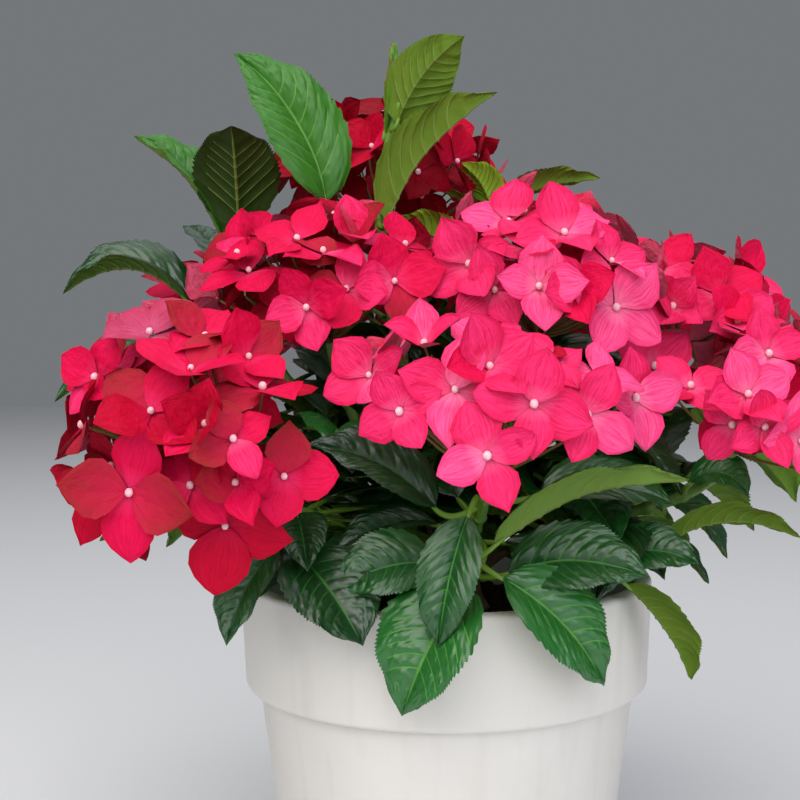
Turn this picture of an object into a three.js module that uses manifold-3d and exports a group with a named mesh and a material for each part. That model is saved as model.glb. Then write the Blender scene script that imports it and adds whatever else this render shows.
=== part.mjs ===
// A potted mophead hydrangea: a round clay pot with a deep rim band, the soil in it, a short woody
// crown, green canes, leaves in crossed pairs and domed flower heads of four-sepalled florets.
// Millimetres, +Z up. The origin is the middle of the pot's flat underside, and +Y points away
// from the side that the plant shows best.
import * as THREE from "three";
import { mergeVertices } from "three/addons/utils/BufferGeometryUtils.js";
import Module from "manifold-3d";

const wasm = await Module();
wasm.setup();

// Driving sizes

const CLEAR = 0.3; // between touching pieces

const POT = {
  height: 180,
  rimRadius: 100,
  bandHeight: 52,
  bandFootRadius: 97.7,
  bandRound: 4,
  wallTopRadius: 91.2,
  baseRadius: 75,
  thickness: 7,
  floor: 10,
  lipRound: 2.5,
  segments: 40,
  drains: 3,
  drainRadius: 6,
  drainRing: 38,
};

const SOIL = { top: 162, edgeDrop: 3, flatRadius: 30 };

const CROWN = { height: 26, footRadius: 22, waistRadius: 17, topRadius: 19, sides: 14 };

const CANE = { footRadius: 3.1, tipRadius: 2.3, sides: 6, bareSteps: 5, leafySteps: 5 };

const LEAF = {
  petiole: 24,
  petioleRadius: 1.3,
  wide: 0.58, // full width over length
  fold: 16, // degrees that each half stands above flat
  arch: 0.1, // rise of a blade's middle over its length
  thickness: 1.3,
  baseBulge: 0.55,
  tipTaper: 1.15,
};

const FLORET = { least: 40, most: 49, cup: 3.5 };

const HEAD = { coreShare: 0.72, floretSpace: 14.5, layer: 3.5 };

// Each cane rises from the crown to a flower head. foot is its bearing round the crown in degrees
// and ring its distance from the crown's axis. at is the middle of the head, lean the way the head
// faces, flat its depth over its radius, spread how far from its axis in degrees its florets reach,
// and phase the bearing of the uppermost pair of leaves. The first so many pairs, the number in
// placed, are set one by one further down. Low canes stand outside, high ones inside.
const CANES = [
  {
    name: "left_front", foot: 222, ring: 14.5, phase: 140, placed: 1,
    at: [-101, -94, 253], radius: 58, lean: [-0.4, -0.5, 0.6], flat: 0.95, spread: 112,
  },
  {
    name: "middle_left", foot: 193, ring: 6.5, phase: 200,
    at: [-57, -16, 313], radius: 58, lean: [-0.1, -0.3, 0.9], flat: 0.74, spread: 86,
  },
  {
    name: "top_back", foot: 118, ring: 6.5, phase: 60,
    at: [-30, 68, 368], radius: 62, lean: [0, 0.1, 1], flat: 0.74, spread: 88,
  },
  {
    name: "upper_right", foot: 330, ring: 6.5, phase: 20,
    at: [46, -20, 314], radius: 57, lean: [0.1, -0.3, 0.9], flat: 0.78, spread: 88,
  },
  {
    name: "right", foot: 12, ring: 14.5, phase: 70, placed: 1,
    at: [121, 12, 303], radius: 43, lean: [0.4, -0.2, 0.85], flat: 0.78, spread: 86,
  },
  {
    name: "right_front", foot: 336, ring: 14.5, phase: 15, placed: 3,
    at: [140, -38, 260], radius: 56, lean: [0.3, -0.3, 0.8], flat: 0.74, spread: 86,
  },
  {
    name: "front", foot: 282, ring: 14.5, phase: 200, placed: 2,
    at: [19, -96, 258], radius: 66, lean: [0.05, -0.35, 0.9], flat: 0.7, spread: 86,
  },
  {
    name: "back_left", foot: 150, ring: 14.5, phase: 110,
    at: [-126, 92, 282], radius: 57, lean: [-0.5, 0.4, 0.75], flat: 0.85, spread: 95,
  },
  {
    name: "back_right", foot: 46, ring: 14.5, phase: 60,
    at: [104, 100, 292], radius: 58, lean: [0.4, 0.45, 0.75], flat: 0.85, spread: 95,
  },
  {
    name: "back", foot: 102, ring: 14.5, phase: 10,
    at: [-14, 138, 276], radius: 57, lean: [0, 0.6, 0.75], flat: 0.85, spread: 98,
  },
];

// Canes that end in leaves instead of a flower head: at is the tip.
const LEAFY_CANES = [
  {
    name: "top_shoot", foot: 42, ring: 6.5, phase: 185, placed: 2,
    at: [-22, -4, 402], lean: [0.4, -0.25, 1],
  },
  {
    name: "left_shoot", foot: 186, ring: 14.5, phase: 100, placed: 1,
    at: [-104, 28, 336], lean: [-0.1, -0.1, 1],
  },
  {
    name: "middle_shoot", foot: 74, ring: 14.5, phase: 0, placed: 1,
    at: [28, 42, 352], lean: [0, 0, 1],
  },
];

// Leaves that are set one by one, where the plant shows them most. at is the share of the cane's
// length that the stalk springs from. The blade runs from base to tip, its middle stands arch times
// its length above a straight line, roll turns its upper side about its length, fold is how far
// each half stands above flat, and wide is its width over its length.
const PLACED_LEAVES = [
  { cane: "top_shoot", at: 0.8, base: [-57, 2, 361], tip: [-102, 4, 434], roll: -62, wide: 0.55 },
  { cane: "top_shoot", at: 0.8, base: [-28, -9, 351], tip: [25, -26, 409], roll: -14, fold: 40, wide: 0.5 },
  { cane: "top_shoot", at: 0.97, base: [-22, -9, 397], tip: [10, -20, 436], roll: -70, wide: 0.62 },
  { cane: "top_shoot", at: 0.97, base: [-28, 0, 392], tip: [-24, 15, 441], roll: 72, wide: 0.4 },
  { cane: "left_shoot", at: 0.97, base: [-110, 18, 343], tip: [-154, 16, 396], roll: -40, fold: 35, wide: 0.5 },
  { cane: "left_shoot", at: 0.97, base: [-101, 8, 348], tip: [-98, -32, 394], roll: 0, wide: 0.72 },
  { cane: "left_shoot", at: 0.75, base: [-130, 30, 314], tip: [-194, 26, 318], roll: -20, fold: 35, arch: 0.24 },
  { cane: "middle_shoot", at: 0.95, base: [30, 36, 369], tip: [78, 24, 378], roll: -20, wide: 0.5 },
  { cane: "middle_shoot", at: 0.95, base: [22, 44, 362], tip: [-2, 22, 391], roll: 0, wide: 0.6 },
  { cane: "front", at: 0.88, base: [-4, -86, 224], tip: [-58, -92, 252], roll: -40, wide: 0.55 },
  { cane: "front", at: 0.88, base: [42, -72, 228], tip: [102, -62, 221], roll: 30 },
  { cane: "front", at: 0.7, base: [9, -113, 224], tip: [-3, -124, 172], roll: 0, wide: 0.5 },
  { cane: "front", at: 0.55, base: [-5, -92, 201], tip: [-46, -102, 191], roll: -45, wide: 0.75 },
  { cane: "front", at: 0.5, base: [9, -106, 194], tip: [-18, -120, 143], roll: 10, wide: 0.85 },
  { cane: "front", at: 0.5, base: [24, -104, 197], tip: [67, -96, 149], roll: 15, wide: 0.62 },
  { cane: "front", at: 0.65, base: [20, -104, 211], tip: [102, -100, 237], roll: -12, fold: 30, wide: 0.4 },
  { cane: "front", at: 0.4, base: [27, -86, 196], tip: [86, -98, 196], roll: 45, wide: 0.62 },
  { cane: "left_front", at: 0.5, base: [-57, -88, 205], tip: [-36, -112, 171], roll: -40, wide: 0.8 },
  { cane: "left_front", at: 0.6, base: [-74, -80, 206], tip: [-92, -104, 168], roll: 0 },
  { cane: "left_front", at: 0.85, base: [-104, -64, 214], tip: [-158, -52, 204], roll: 0 },
  { cane: "right_front", at: 0.35, base: [74, -58, 199], tip: [112, -66, 196], roll: 40, wide: 0.7 },
  { cane: "right_front", at: 0.4, base: [80, -70, 188], tip: [109, -66, 144], roll: -60, fold: 30, wide: 0.55 },
  { cane: "right_front", at: 0.55, base: [99, -45, 202], tip: [159, -56, 206], roll: -30, arch: 0.15, wide: 0.4 },
  { cane: "right_front", at: 0.75, base: [114, -30, 228], tip: [139, -40, 222], roll: 30, arch: 0.3, wide: 0.9 },
  { cane: "right", at: 0.4, base: [96, 2, 221], tip: [136, -8, 188], roll: 10, wide: 0.75 },
];

// How the other leaves sit, in pairs along a cane from the top pair down.
const PAIRS = {
  count: 5,
  topAt: 0.88,
  stepAt: 0.13,
  topRise: 34,
  stepRise: -9,
  sag: 26, // degrees that a blade points below its stalk
  topLength: 78,
  stepLength: 6,
  bareShare: 0.3, // of the cane, below the lowest pair
};

const COLOURS = {
  clay: 0xd6d2c8,
  soil: 0x2b2119,
  bark: 0x6b5a41,
  cane: 0x4f7d2c,
  leaf: 0x245c31,
  petal: 0xdd1f4b,
};

// Small tools

const DEG = Math.PI / 180;
const UP = new THREE.Vector3(0, 0, 1);
const vec = (x, y, z) => new THREE.Vector3(x, y, z);
const bearing = (deg) => vec(Math.cos(deg * DEG), Math.sin(deg * DEG), 0);

// A small seeded series of numbers from 0 to 1, so that every build grows the same plant.
function series(seed) {
  let state = seed;
  return () => {
    state = (state * 1664525 + 1013904223) % 4294967296;
    return state / 4294967296;
  };
}

// A closed geometry as a solid: shared corners merged, and faces that collapsed at poles dropped.
function solidOf(geometry) {
  const bare = geometry.clone();
  bare.deleteAttribute("normal");
  bare.deleteAttribute("uv");
  const merged = mergeVertices(bare, 1e-3);
  const corners = merged.index.array;
  const kept = [];
  for (let i = 0; i < corners.length; i += 3) {
    const [a, b, c] = [corners[i], corners[i + 1], corners[i + 2]];
    if (a !== b && b !== c && a !== c) kept.push(a, b, c);
  }
  const solid = new wasm.Manifold(
    new wasm.Mesh({
      numProp: 3,
      vertProperties: new Float32Array(merged.attributes.position.array),
      triVerts: new Uint32Array(kept),
    }),
  );
  if (solid.volume() < 0) throw new Error("a shape is inside out");
  return solid;
}

function geometryOf(solid) {
  const mesh = solid.getMesh();
  const stride = mesh.numProp;
  const positions = new Float32Array(mesh.numVert * 3);
  for (let i = 0; i < mesh.numVert; i++) {
    positions.set(mesh.vertProperties.subarray(i * stride, i * stride + 3), i * 3);
  }
  const geometry = new THREE.BufferGeometry();
  geometry.setAttribute("position", new THREE.BufferAttribute(positions, 3));
  geometry.setIndex(new THREE.BufferAttribute(new Uint32Array(mesh.triVerts), 1));
  geometry.computeVertexNormals();
  return geometry;
}

const joined = (solids) => solids.reduce((sum, next) => sum.add(next));

// The largest closed body of a solid, which drops scraps that a cut has left.
function largest(solid) {
  return solid.decompose().reduce((a, b) => (b.volume() > a.volume() ? b : a));
}

// Moves every corner of a geometry by a function that is given its place.
function reshape(geometry, place) {
  const positions = geometry.getAttribute("position");
  const here = vec(0, 0, 0);
  for (let i = 0; i < positions.count; i++) {
    here.fromBufferAttribute(positions, i);
    const there = place(here);
    positions.setXYZ(i, there.x, there.y, there.z);
  }
  return geometry;
}

// A round turned shape about Z from its half profile of [radius, height] pairs.
function turned(profile, segments) {
  const points = profile.map(([r, z]) => new THREE.Vector2(r, z));
  const geometry = new THREE.LatheGeometry(points, segments);
  geometry.rotateX(Math.PI / 2);
  return solidOf(geometry);
}

// The pot and what is in it

const wallRadius = (z) =>
  POT.baseRadius + ((POT.wallTopRadius - POT.baseRadius) * z) / (POT.height - POT.bandHeight);

function potSolid() {
  const bandFoot = POT.height - POT.bandHeight;
  const lip = POT.lipRound;
  const round = POT.bandRound;
  const innerRim = POT.rimRadius - POT.thickness - 1.5;
  const innerFoot = wallRadius(POT.floor) - POT.thickness;
  const pot = turned(
    [
      [0, 0],
      [POT.baseRadius - 2, 0],
      [POT.baseRadius, 2],
      [wallRadius(bandFoot), bandFoot],
      [POT.bandFootRadius - round, bandFoot],
      [POT.bandFootRadius - 0.3 * round, bandFoot + 0.3 * round],
      [POT.bandFootRadius, bandFoot + round],
      [POT.rimRadius, POT.height - lip],
      [POT.rimRadius - 0.3 * lip, POT.height - 0.3 * lip],
      [POT.rimRadius - lip, POT.height],
      [innerRim + lip, POT.height],
      [innerRim, POT.height - lip],
      [innerRim - 1, POT.height - POT.bandHeight],
      [innerFoot, POT.floor],
      [0, POT.floor],
    ],
    POT.segments,
  );
  const drains = [];
  for (let i = 0; i < POT.drains; i++) {
    const middle = bearing((360 * i) / POT.drains + 90).multiplyScalar(POT.drainRing);
    const drain = new THREE.CylinderGeometry(POT.drainRadius, POT.drainRadius, 3 * POT.floor, 12);
    drain.rotateX(Math.PI / 2);
    drain.translate(middle.x, middle.y, POT.floor / 2);
    drains.push(solidOf(drain));
  }
  return pot.subtract(joined(drains));
}

function soilSolid() {
  const bandFoot = POT.height - POT.bandHeight;
  const innerRim = POT.rimRadius - POT.thickness - 1.5;
  const innerFoot = wallRadius(POT.floor) - POT.thickness;
  const slope = (innerRim - 1 - innerFoot) / (bandFoot - POT.floor);
  const edge = SOIL.top - SOIL.edgeDrop;
  const inside = (z) => (z < bandFoot ? innerFoot + slope * (z - POT.floor) : innerRim - 1);
  return turned(
    [
      [0, POT.floor + CLEAR],
      [inside(POT.floor) - CLEAR, POT.floor + CLEAR],
      [inside(bandFoot) - 1.5 * CLEAR, bandFoot],
      [inside(edge) - CLEAR, edge],
      [0.75 * inside(edge), edge + 0.4],
      [SOIL.flatRadius, SOIL.top],
      [0, SOIL.top],
    ],
    POT.segments,
  );
}

// A ring round the pot's wall and rim, to cut leaves clear of it.
function rimSpace() {
  const bandFoot = POT.height - POT.bandHeight;
  const innerRim = POT.rimRadius - POT.thickness - 1.5 - CLEAR;
  const profile = [
    [innerRim - 1, 0.5 * bandFoot],
    [wallRadius(0.5 * bandFoot) + CLEAR, 0.5 * bandFoot],
    [wallRadius(bandFoot) + CLEAR, bandFoot - CLEAR],
    [POT.bandFootRadius + CLEAR, bandFoot - CLEAR],
    [POT.rimRadius + CLEAR, POT.height + CLEAR],
    [innerRim, POT.height + CLEAR],
    [innerRim - 1, 0.5 * bandFoot],
  ];
  return turned(profile, POT.segments);
}

const CROWN_FOOT = SOIL.top + CLEAR;

// grow widens it, to cut the canes' feet clear of it.
function crownSolid(grow = 0) {
  const { height, footRadius, waistRadius, topRadius, sides } = CROWN;
  return turned(
    [
      [0, CROWN_FOOT - grow],
      [footRadius + grow, CROWN_FOOT - grow],
      [waistRadius + 1 + grow, CROWN_FOOT + 0.25 * height],
      [waistRadius + grow, CROWN_FOOT + 0.5 * height],
      [topRadius + grow, CROWN_FOOT + 0.8 * height],
      [0.8 * topRadius + grow, CROWN_FOOT + 0.97 * height + grow],
      [0, CROWN_FOOT + height + grow],
    ],
    sides,
  );
}

// Canes

// The curve of a cane: up out of the crown, then over to the underside of its head.
function canePath(cane) {
  const foot = bearing(cane.foot).multiplyScalar(cane.ring);
  foot.z = CROWN_FOOT + 0.6 * CROWN.height;
  const lean = vec(...cane.lean).normalize();
  const end = vec(...cane.at).addScaledVector(lean, -0.35 * (cane.radius || 0));
  const span = end.distanceTo(foot);
  const outward = vec(end.x - foot.x, end.y - foot.y, 0).multiplyScalar(0.25);
  const early = foot.clone().addScaledVector(UP, 0.3 * span).add(outward);
  const late = end.clone().addScaledVector(lean, -0.35 * span);
  return new THREE.CubicBezierCurve3(foot, early, late, end);
}

// A side axis that no part of a cane runs along.
function sideAxis(path) {
  const run = path.v3.clone().sub(path.v0);
  const side = vec(-run.y, run.x, 0);
  return side.lengthSq() < 1 ? vec(1, 0, 0) : side.normalize();
}

// One tapering round limb along a stretch of a curve.
function limb(path, from, to, radiusFrom, radiusTo, sides, steps) {
  const side = sideAxis(path);
  const geometry = new THREE.CylinderGeometry(1, 1, 1, sides, steps);
  reshape(geometry, (p) => {
    const share = p.y + 0.5;
    const t = from + (to - from) * share;
    const radius = radiusFrom + (radiusTo - radiusFrom) * share;
    const along = path.getTangent(t);
    const a = side.clone().cross(along).normalize();
    const b = a.clone().cross(along);
    return path
      .getPoint(t)
      .addScaledVector(a, p.x * radius)
      .addScaledVector(b, p.z * radius);
  });
  return solidOf(geometry);
}

const radiusAt = (t) => CANE.footRadius + (CANE.tipRadius - CANE.footRadius) * t;

// Leaves

// A place along a leaf with its directions along, to the side and out of its upper face. u runs
// from 0 at the blade's base to 1 at its tip, and from -1 to 0 along the stalk.
function leafAxis(leaf, u) {
  const { root, base, tip } = leaf;
  const chord = tip.clone().sub(base);
  const straight = chord.clone().normalize();
  const heading = tip.clone().sub(root).setZ(0).normalize();
  const level = vec(-heading.y, heading.x, 0);
  const flat = level.clone().addScaledVector(straight, -level.dot(straight)).normalize();
  const middle = base
    .clone()
    .add(tip)
    .multiplyScalar(0.5)
    .addScaledVector(straight.clone().cross(flat), 2 * leaf.arch * chord.length());
  const ease = 0.5 * base.distanceTo(root);
  const knee = base.clone().addScaledVector(middle.clone().sub(base).normalize(), -ease);
  const curve =
    u >= 0
      ? new THREE.QuadraticBezierCurve3(base, middle, tip)
      : new THREE.QuadraticBezierCurve3(root, knee, base);
  const t = u >= 0 ? Math.min(u, 1) : u + 1;
  const along = curve.getTangent(t);
  const side = flat.addScaledVector(along, -flat.dot(along)).normalize();
  side.applyAxisAngle(along, leaf.roll * DEG);
  return { point: curve.getPoint(t), along, side, upper: along.clone().cross(side) };
}

// Half width of a blade at share u of its length, as a share of the widest.
function bladeWidth(u) {
  const widest = LEAF.baseBulge / (LEAF.baseBulge + LEAF.tipTaper);
  return (u / widest) ** LEAF.baseBulge * ((1 - u) / (1 - widest)) ** LEAF.tipTaper;
}

// A point on a blade: u runs from its base to its tip, and v from margin to margin, -1 to 1.
function bladePoint(leaf, u, v) {
  const { point, side, upper } = leafAxis(leaf, u);
  const reach = 0.5 * leaf.wide * leaf.base.distanceTo(leaf.tip) * bladeWidth(u) * v;
  const fold = leaf.fold * DEG;
  return point
    .addScaledVector(side, reach * Math.cos(fold))
    .addScaledVector(upper, Math.abs(reach) * Math.sin(fold));
}

// A four-sided ball, drawn out and bent: its poles are the stalk's root and the blade's tip, and its
// rings stand at these shares of stalk and blade.
const LEAF_RINGS = [-1, -0.9, 0.02, 0.18, 0.38, 0.6, 0.82, 1];

function leafSolid(leaf, grow = 0) {
  const last = LEAF_RINGS.length - 1;
  const ball = new THREE.SphereGeometry(1, 4, last);
  reshape(ball, (p) => {
    const ring = Math.round((Math.acos(Math.min(1, Math.max(-1, p.y))) / Math.PI) * last);
    const size = Math.max(Math.hypot(p.x, p.z), 1e-6);
    const u = LEAF_RINGS[ring];
    const { point, side, upper } = leafAxis(leaf, u);
    if (ring === 0) return point;
    const [x, z] = [p.x / size, p.z / size];
    if (u < 0.1) {
      const stalk = LEAF.petioleRadius * (u < 0 ? 1 : 0.75) + 1.5 * grow;
      return point.addScaledVector(side, x * stalk).addScaledVector(upper, z * stalk);
    }
    const half = ring === last ? 0 : 0.5 * LEAF.thickness + grow;
    const edge = 1 + grow / 15;
    return bladePoint(leaf, u, x * edge).addScaledVector(upper, z * half);
  });
  return solidOf(ball);
}

// Florets and heads

// Where the florets of a head sit, and the way that each faces: even turns of the golden angle
// over a dome, alternately high and low, with a little seeded scatter.
function floretsOf(cane, seed) {
  const random = series(seed);
  const axis = vec(...cane.lean).normalize();
  const side = vec(axis.z, 0, -axis.x).normalize();
  const third = axis.clone().cross(side);
  const centre = vec(...cane.at);
  const lowest = Math.cos(cane.spread * DEG);
  const count = Math.round((1 - lowest) * (cane.radius / HEAD.floretSpace) ** 2 * 0.8);
  const florets = [];
  for (let k = 0; k < count; k++) {
    const cosine = 1 - ((k + 0.4) / count) * (1 - lowest);
    const sine = Math.sqrt(1 - cosine * cosine);
    const round = k * 137.508 * DEG + 0.25 * (random() - 0.5);
    const out = axis
      .clone()
      .multiplyScalar(cosine)
      .addScaledVector(side, sine * Math.cos(round))
      .addScaledVector(third, sine * Math.sin(round));
    const size = FLORET.least + (FLORET.most - FLORET.least) * random();
    const reach = cane.radius - 6 + (k % 2 ? -0.5 : 0.5) * HEAD.layer;
    const place = centre
      .clone()
      .addScaledVector(out, reach)
      .addScaledVector(axis, reach * cosine * (cane.flat - 1));
    const face = out
      .clone()
      .add(vec(random() - 0.5, random() - 0.5, random() - 0.5).multiplyScalar(0.5))
      .normalize();
    const inside = 0.8 * HEAD.coreShare * cane.flat * cane.radius;
    const root = centre.clone().addScaledVector(out, inside);
    florets.push({ place, face, size, spin: 90 * random(), root });
  }
  return florets;
}

// One floret as a shallow four-cornered cup, a corner for each sepal, whose point is sunk in the
// head's core.
function floretSolid(floret, grow = 0) {
  const { place, face, size, spin, root } = floret;
  const a = vec(face.z, 0.01, -face.x).normalize().applyAxisAngle(face, spin * DEG);
  const b = a.clone().cross(face).negate();
  const geometry = new THREE.ConeGeometry(1, 1, 4, 1);
  return solidOf(
    reshape(geometry, (p) => {
      if (p.y > 0) return root;
      const corner = Math.hypot(p.x, p.z) > 0.5;
      const radius = 0.5 * size + 3 * grow;
      return place
        .clone()
        .addScaledVector(a, p.x * radius)
        .addScaledVector(b, p.z * radius)
        .addScaledVector(face, 0.7 * grow + (corner ? FLORET.cup : 0));
    }),
  );
}

function coreSolid(cane, grow = 0) {
  const axis = vec(...cane.lean).normalize();
  const turn = new THREE.Quaternion().setFromUnitVectors(UP, axis);
  const radius = HEAD.coreShare * cane.radius + grow;
  const core = new THREE.SphereGeometry(radius, 8, 5);
  core.rotateX(Math.PI / 2);
  core.scale(1, 1, cane.flat);
  core.applyQuaternion(turn);
  core.translate(...cane.at);
  return solidOf(core);
}

// Growing the plant

const SEEDS = { head: 101, leaf: 7001 };

const canes = [...CANES, ...LEAFY_CANES].map((cane, i) => ({
  ...cane,
  path: canePath(cane),
  florets: cane.radius ? floretsOf(cane, SEEDS.head + 37 * i) : [],
  index: i,
}));

// Sample points of a leaf, for keeping leaves apart.
function feelers(leaf) {
  const points = [leafAxis(leaf, -0.5).point, leafAxis(leaf, -0.2).point];
  for (const u of [0.1, 0.25, 0.4, 0.55, 0.7, 0.85, 1]) {
    for (const v of [-1, -0.5, 0, 0.5, 1]) points.push(bladePoint(leaf, u, v));
  }
  return points;
}

const POT_SPACE = { radius: POT.rimRadius + 5, top: POT.height + 4, low: 178 };
const ROOM = { reach: 205, top: 452, leaf: 5, cane: 5, head: 1 };

// Whether a point lies in the pot, in a head's dome or beyond the plant's reach.
function taken(point) {
  const across = Math.hypot(point.x, point.y);
  if (across > ROOM.reach || point.z > ROOM.top || point.z < POT_SPACE.low) return true;
  if (across < POT_SPACE.radius && point.z < POT_SPACE.top) return true;
  for (const cane of canes) {
    if (!cane.radius) continue;
    const axis = vec(...cane.lean).normalize();
    const from = point.clone().sub(vec(...cane.at));
    const high = from.dot(axis) / from.length();
    const dome = high > Math.cos((cane.spread + 14) * DEG);
    const limit = dome ? cane.radius + ROOM.head : 0.75 * cane.radius;
    if (from.length() < limit) return true;
  }
  return false;
}

const nearAny = (point, others, limit) =>
  others.some((other) => other.distanceToSquared(point) < limit * limit);

const caneFeelers = canes.map((cane) => {
  const points = [];
  for (let t = 0; t <= 1.001; t += 0.05) points.push(cane.path.getPoint(Math.min(1, t)));
  return points;
});

// Leaves grow in crossed pairs from the top of a cane down. A leaf that touches something is
// turned, lifted or made smaller, and is left out where none of that helps.
const TURNS = [0, 18, -18, 36, -36, 54, -54];
const LIFTS = [0, 14, -14, 28, -28, 42];
const SIZES = [1, 0.82, 0.66];

function fits(leaf, others) {
  const points = feelers(leaf);
  const crossed = (other) => {
    const checked = other.index === leaf.cane ? points.slice(12) : points;
    return checked.some((p) => nearAny(p, caneFeelers[other.index], ROOM.cane));
  };
  const free = !points.some(taken) && !canes.some(crossed);
  return free && !points.some((p) => nearAny(p, others, ROOM.leaf));
}

function placedLeaf({ cane, at, base, tip, ...look }) {
  const { index, path } = canes.find((c) => c.name === cane);
  const root = path.getPoint(at);
  return { ...LEAF, ...look, cane: index, root, base: vec(...base), tip: vec(...tip) };
}

// A leaf of a pair, from the bearing that it grows on and the steepness of its stalk.
function pairedLeaf(cane, root, turn, rise, length, roll) {
  const steep = (deg) =>
    bearing(turn)
      .multiplyScalar(Math.cos(deg * DEG))
      .addScaledVector(UP, Math.sin(deg * DEG));
  const base = root.clone().addScaledVector(steep(rise), LEAF.petiole);
  const tip = base.clone().addScaledVector(steep(rise - PAIRS.sag), length);
  return { ...LEAF, cane: cane.index, root, base, tip, roll };
}

// All leaves in the order that they are set, each with the number of its cane.
function growLeaves() {
  const leaves = PLACED_LEAVES.map(placedLeaf);
  const others = leaves.flatMap(feelers);
  for (let pair = 0; pair < PAIRS.count; pair++) {
    for (const cane of canes.filter((c) => pair >= (c.placed ?? 0))) {
      const random = series(SEEDS.leaf + 91 * cane.index + 13 * pair);
      const root = cane.path.getPoint(PAIRS.topAt - PAIRS.stepAt * pair);
      for (const half of [0, 180]) {
        const turn = cane.phase + 90 * pair + half + 24 * (random() - 0.5);
        const rise = PAIRS.topRise + PAIRS.stepRise * pair + 20 * (random() - 0.5);
        const length = PAIRS.topLength + PAIRS.stepLength * pair + 14 * (random() - 0.5);
        const roll = 30 * (random() - 0.5);
        const tried = (size, lift, swing) =>
          pairedLeaf(cane, root, turn + swing, rise + lift, size * length, roll);
        const tries = SIZES.flatMap((size) =>
          LIFTS.flatMap((lift) => TURNS.map((swing) => tried(size, lift, swing))),
        );
        const leaf = tries.find((leaf) => fits(leaf, others));
        if (!leaf) continue;
        leaves.push(leaf);
        others.push(...feelers(leaf));
      }
    }
  }
  return leaves;
}

const leaves = growLeaves();

// Assembly

const materials = Object.fromEntries(
  Object.entries(COLOURS).map(([name, color]) => {
    const roughness = name === "leaf" ? 0.4 : 0.7;
    return [name, new THREE.MeshStandardMaterial({ name, color, roughness, metalness: 0 })];
  }),
);

const plant = new THREE.Group();
plant.name = "potted_hydrangea";

function place(name, solid, material) {
  const mesh = new THREE.Mesh(geometryOf(solid), materials[material]);
  mesh.name = name;
  plant.add(mesh);
}

place("pot", potSolid(), "clay");
place("soil", soilSolid(), "soil");
place("crown", crownSolid(), "bark");

const crownSpace = crownSolid(CLEAR);

// Whether two solids' boxes meet.
function boxesMeet(a, b) {
  const [p, q] = [a.boundingBox(), b.boundingBox()];
  return [0, 1, 2].every((i) => p.min[i] <= q.max[i] && q.min[i] <= p.max[i]);
}

// A solid without the spaces that other pieces keep.
function without(solid, spaces) {
  const near = spaces.filter((space) => space && boxesMeet(solid, space));
  return near.reduce((rest, space) => rest.subtract(space), solid);
}

const splitOf = (cane) => {
  const length = cane.path.getLength();
  return { bare: PAIRS.bareShare, leafy: cane.radius ? 0.95 : 1, gap: CLEAR / length };
};

for (const cane of canes) {
  const { bare } = splitOf(cane);
  const foot = limb(cane.path, 0, bare, radiusAt(0), radiusAt(bare), CANE.sides, CANE.bareSteps);
  place(`cane_${cane.name}`, largest(foot.subtract(crownSpace)), "cane");
}

// What keeps clear of each cane is cut by this.
const caneSpaces = canes.map((cane) => {
  const radius = CANE.footRadius + 1.3 * CLEAR;
  return limb(cane.path, 0, splitOf(cane).leafy, radius, radius, CANE.sides, 10);
});
const otherCanes = (cane) => caneSpaces.filter((_, i) => i !== cane.index);

const headSpaces = canes.map(() => null);
for (const cane of canes.filter((c) => c.radius)) {
  const { leafy, gap } = splitOf(cane);
  const neck = limb(cane.path, leafy + gap, 1, radiusAt(1), radiusAt(1), CANE.sides, 1);
  const head = joined([neck, coreSolid(cane), ...cane.florets.map((f) => floretSolid(f))]);
  place(`head_${cane.name}`, largest(without(head, [...headSpaces, ...otherCanes(cane)])), "petal");
  const spaces = cane.florets.map((f) => floretSolid(f, CLEAR));
  headSpaces[cane.index] = joined([coreSolid(cane, CLEAR), ...spaces]);
}

// Each leaf is cut clear of the heads, the other canes, the pot and the leaves set before it.
const potSpace = rimSpace();
const leafSpaces = leaves.map((leaf) => leafSolid(leaf, 1.5 * CLEAR));

function bladeOf(leaf, i) {
  const earlier = leafSpaces.filter((_, j) => j < i && leaves[j].cane !== leaf.cane);
  const kept = [...headSpaces, potSpace, ...otherCanes(canes[leaf.cane]), ...earlier];
  return without(leafSolid(leaf), kept);
}

const blades = leaves.map(bladeOf);

for (const cane of canes) {
  const { bare, leafy, gap } = splitOf(cane);
  const [foot, tip] = [radiusAt(bare), radiusAt(1)];
  const stem = limb(cane.path, bare + gap, leafy, foot, tip, CANE.sides, CANE.leafySteps);
  const bareStem = without(stem, [headSpaces[cane.index]]);
  const ownBlades = blades.filter((_, i) => leaves[i].cane === cane.index);
  place(`foliage_${cane.name}`, largest(joined([bareStem, ...ownBlades])), "leaf");
}

export default plant;
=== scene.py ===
# A potted mophead hydrangea: a round clay pot with a deep rim band, the soil in it, a short woody
# crown, green canes, leaves in crossed pairs and domed heads of crimson four-sepalled florets.
# Metres, +Z up. The origin is the middle of the pot's flat underside, and +Y points away from the
# side that the plant shows best.
import math

import bpy
import numpy as np
from mathutils import Matrix


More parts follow.
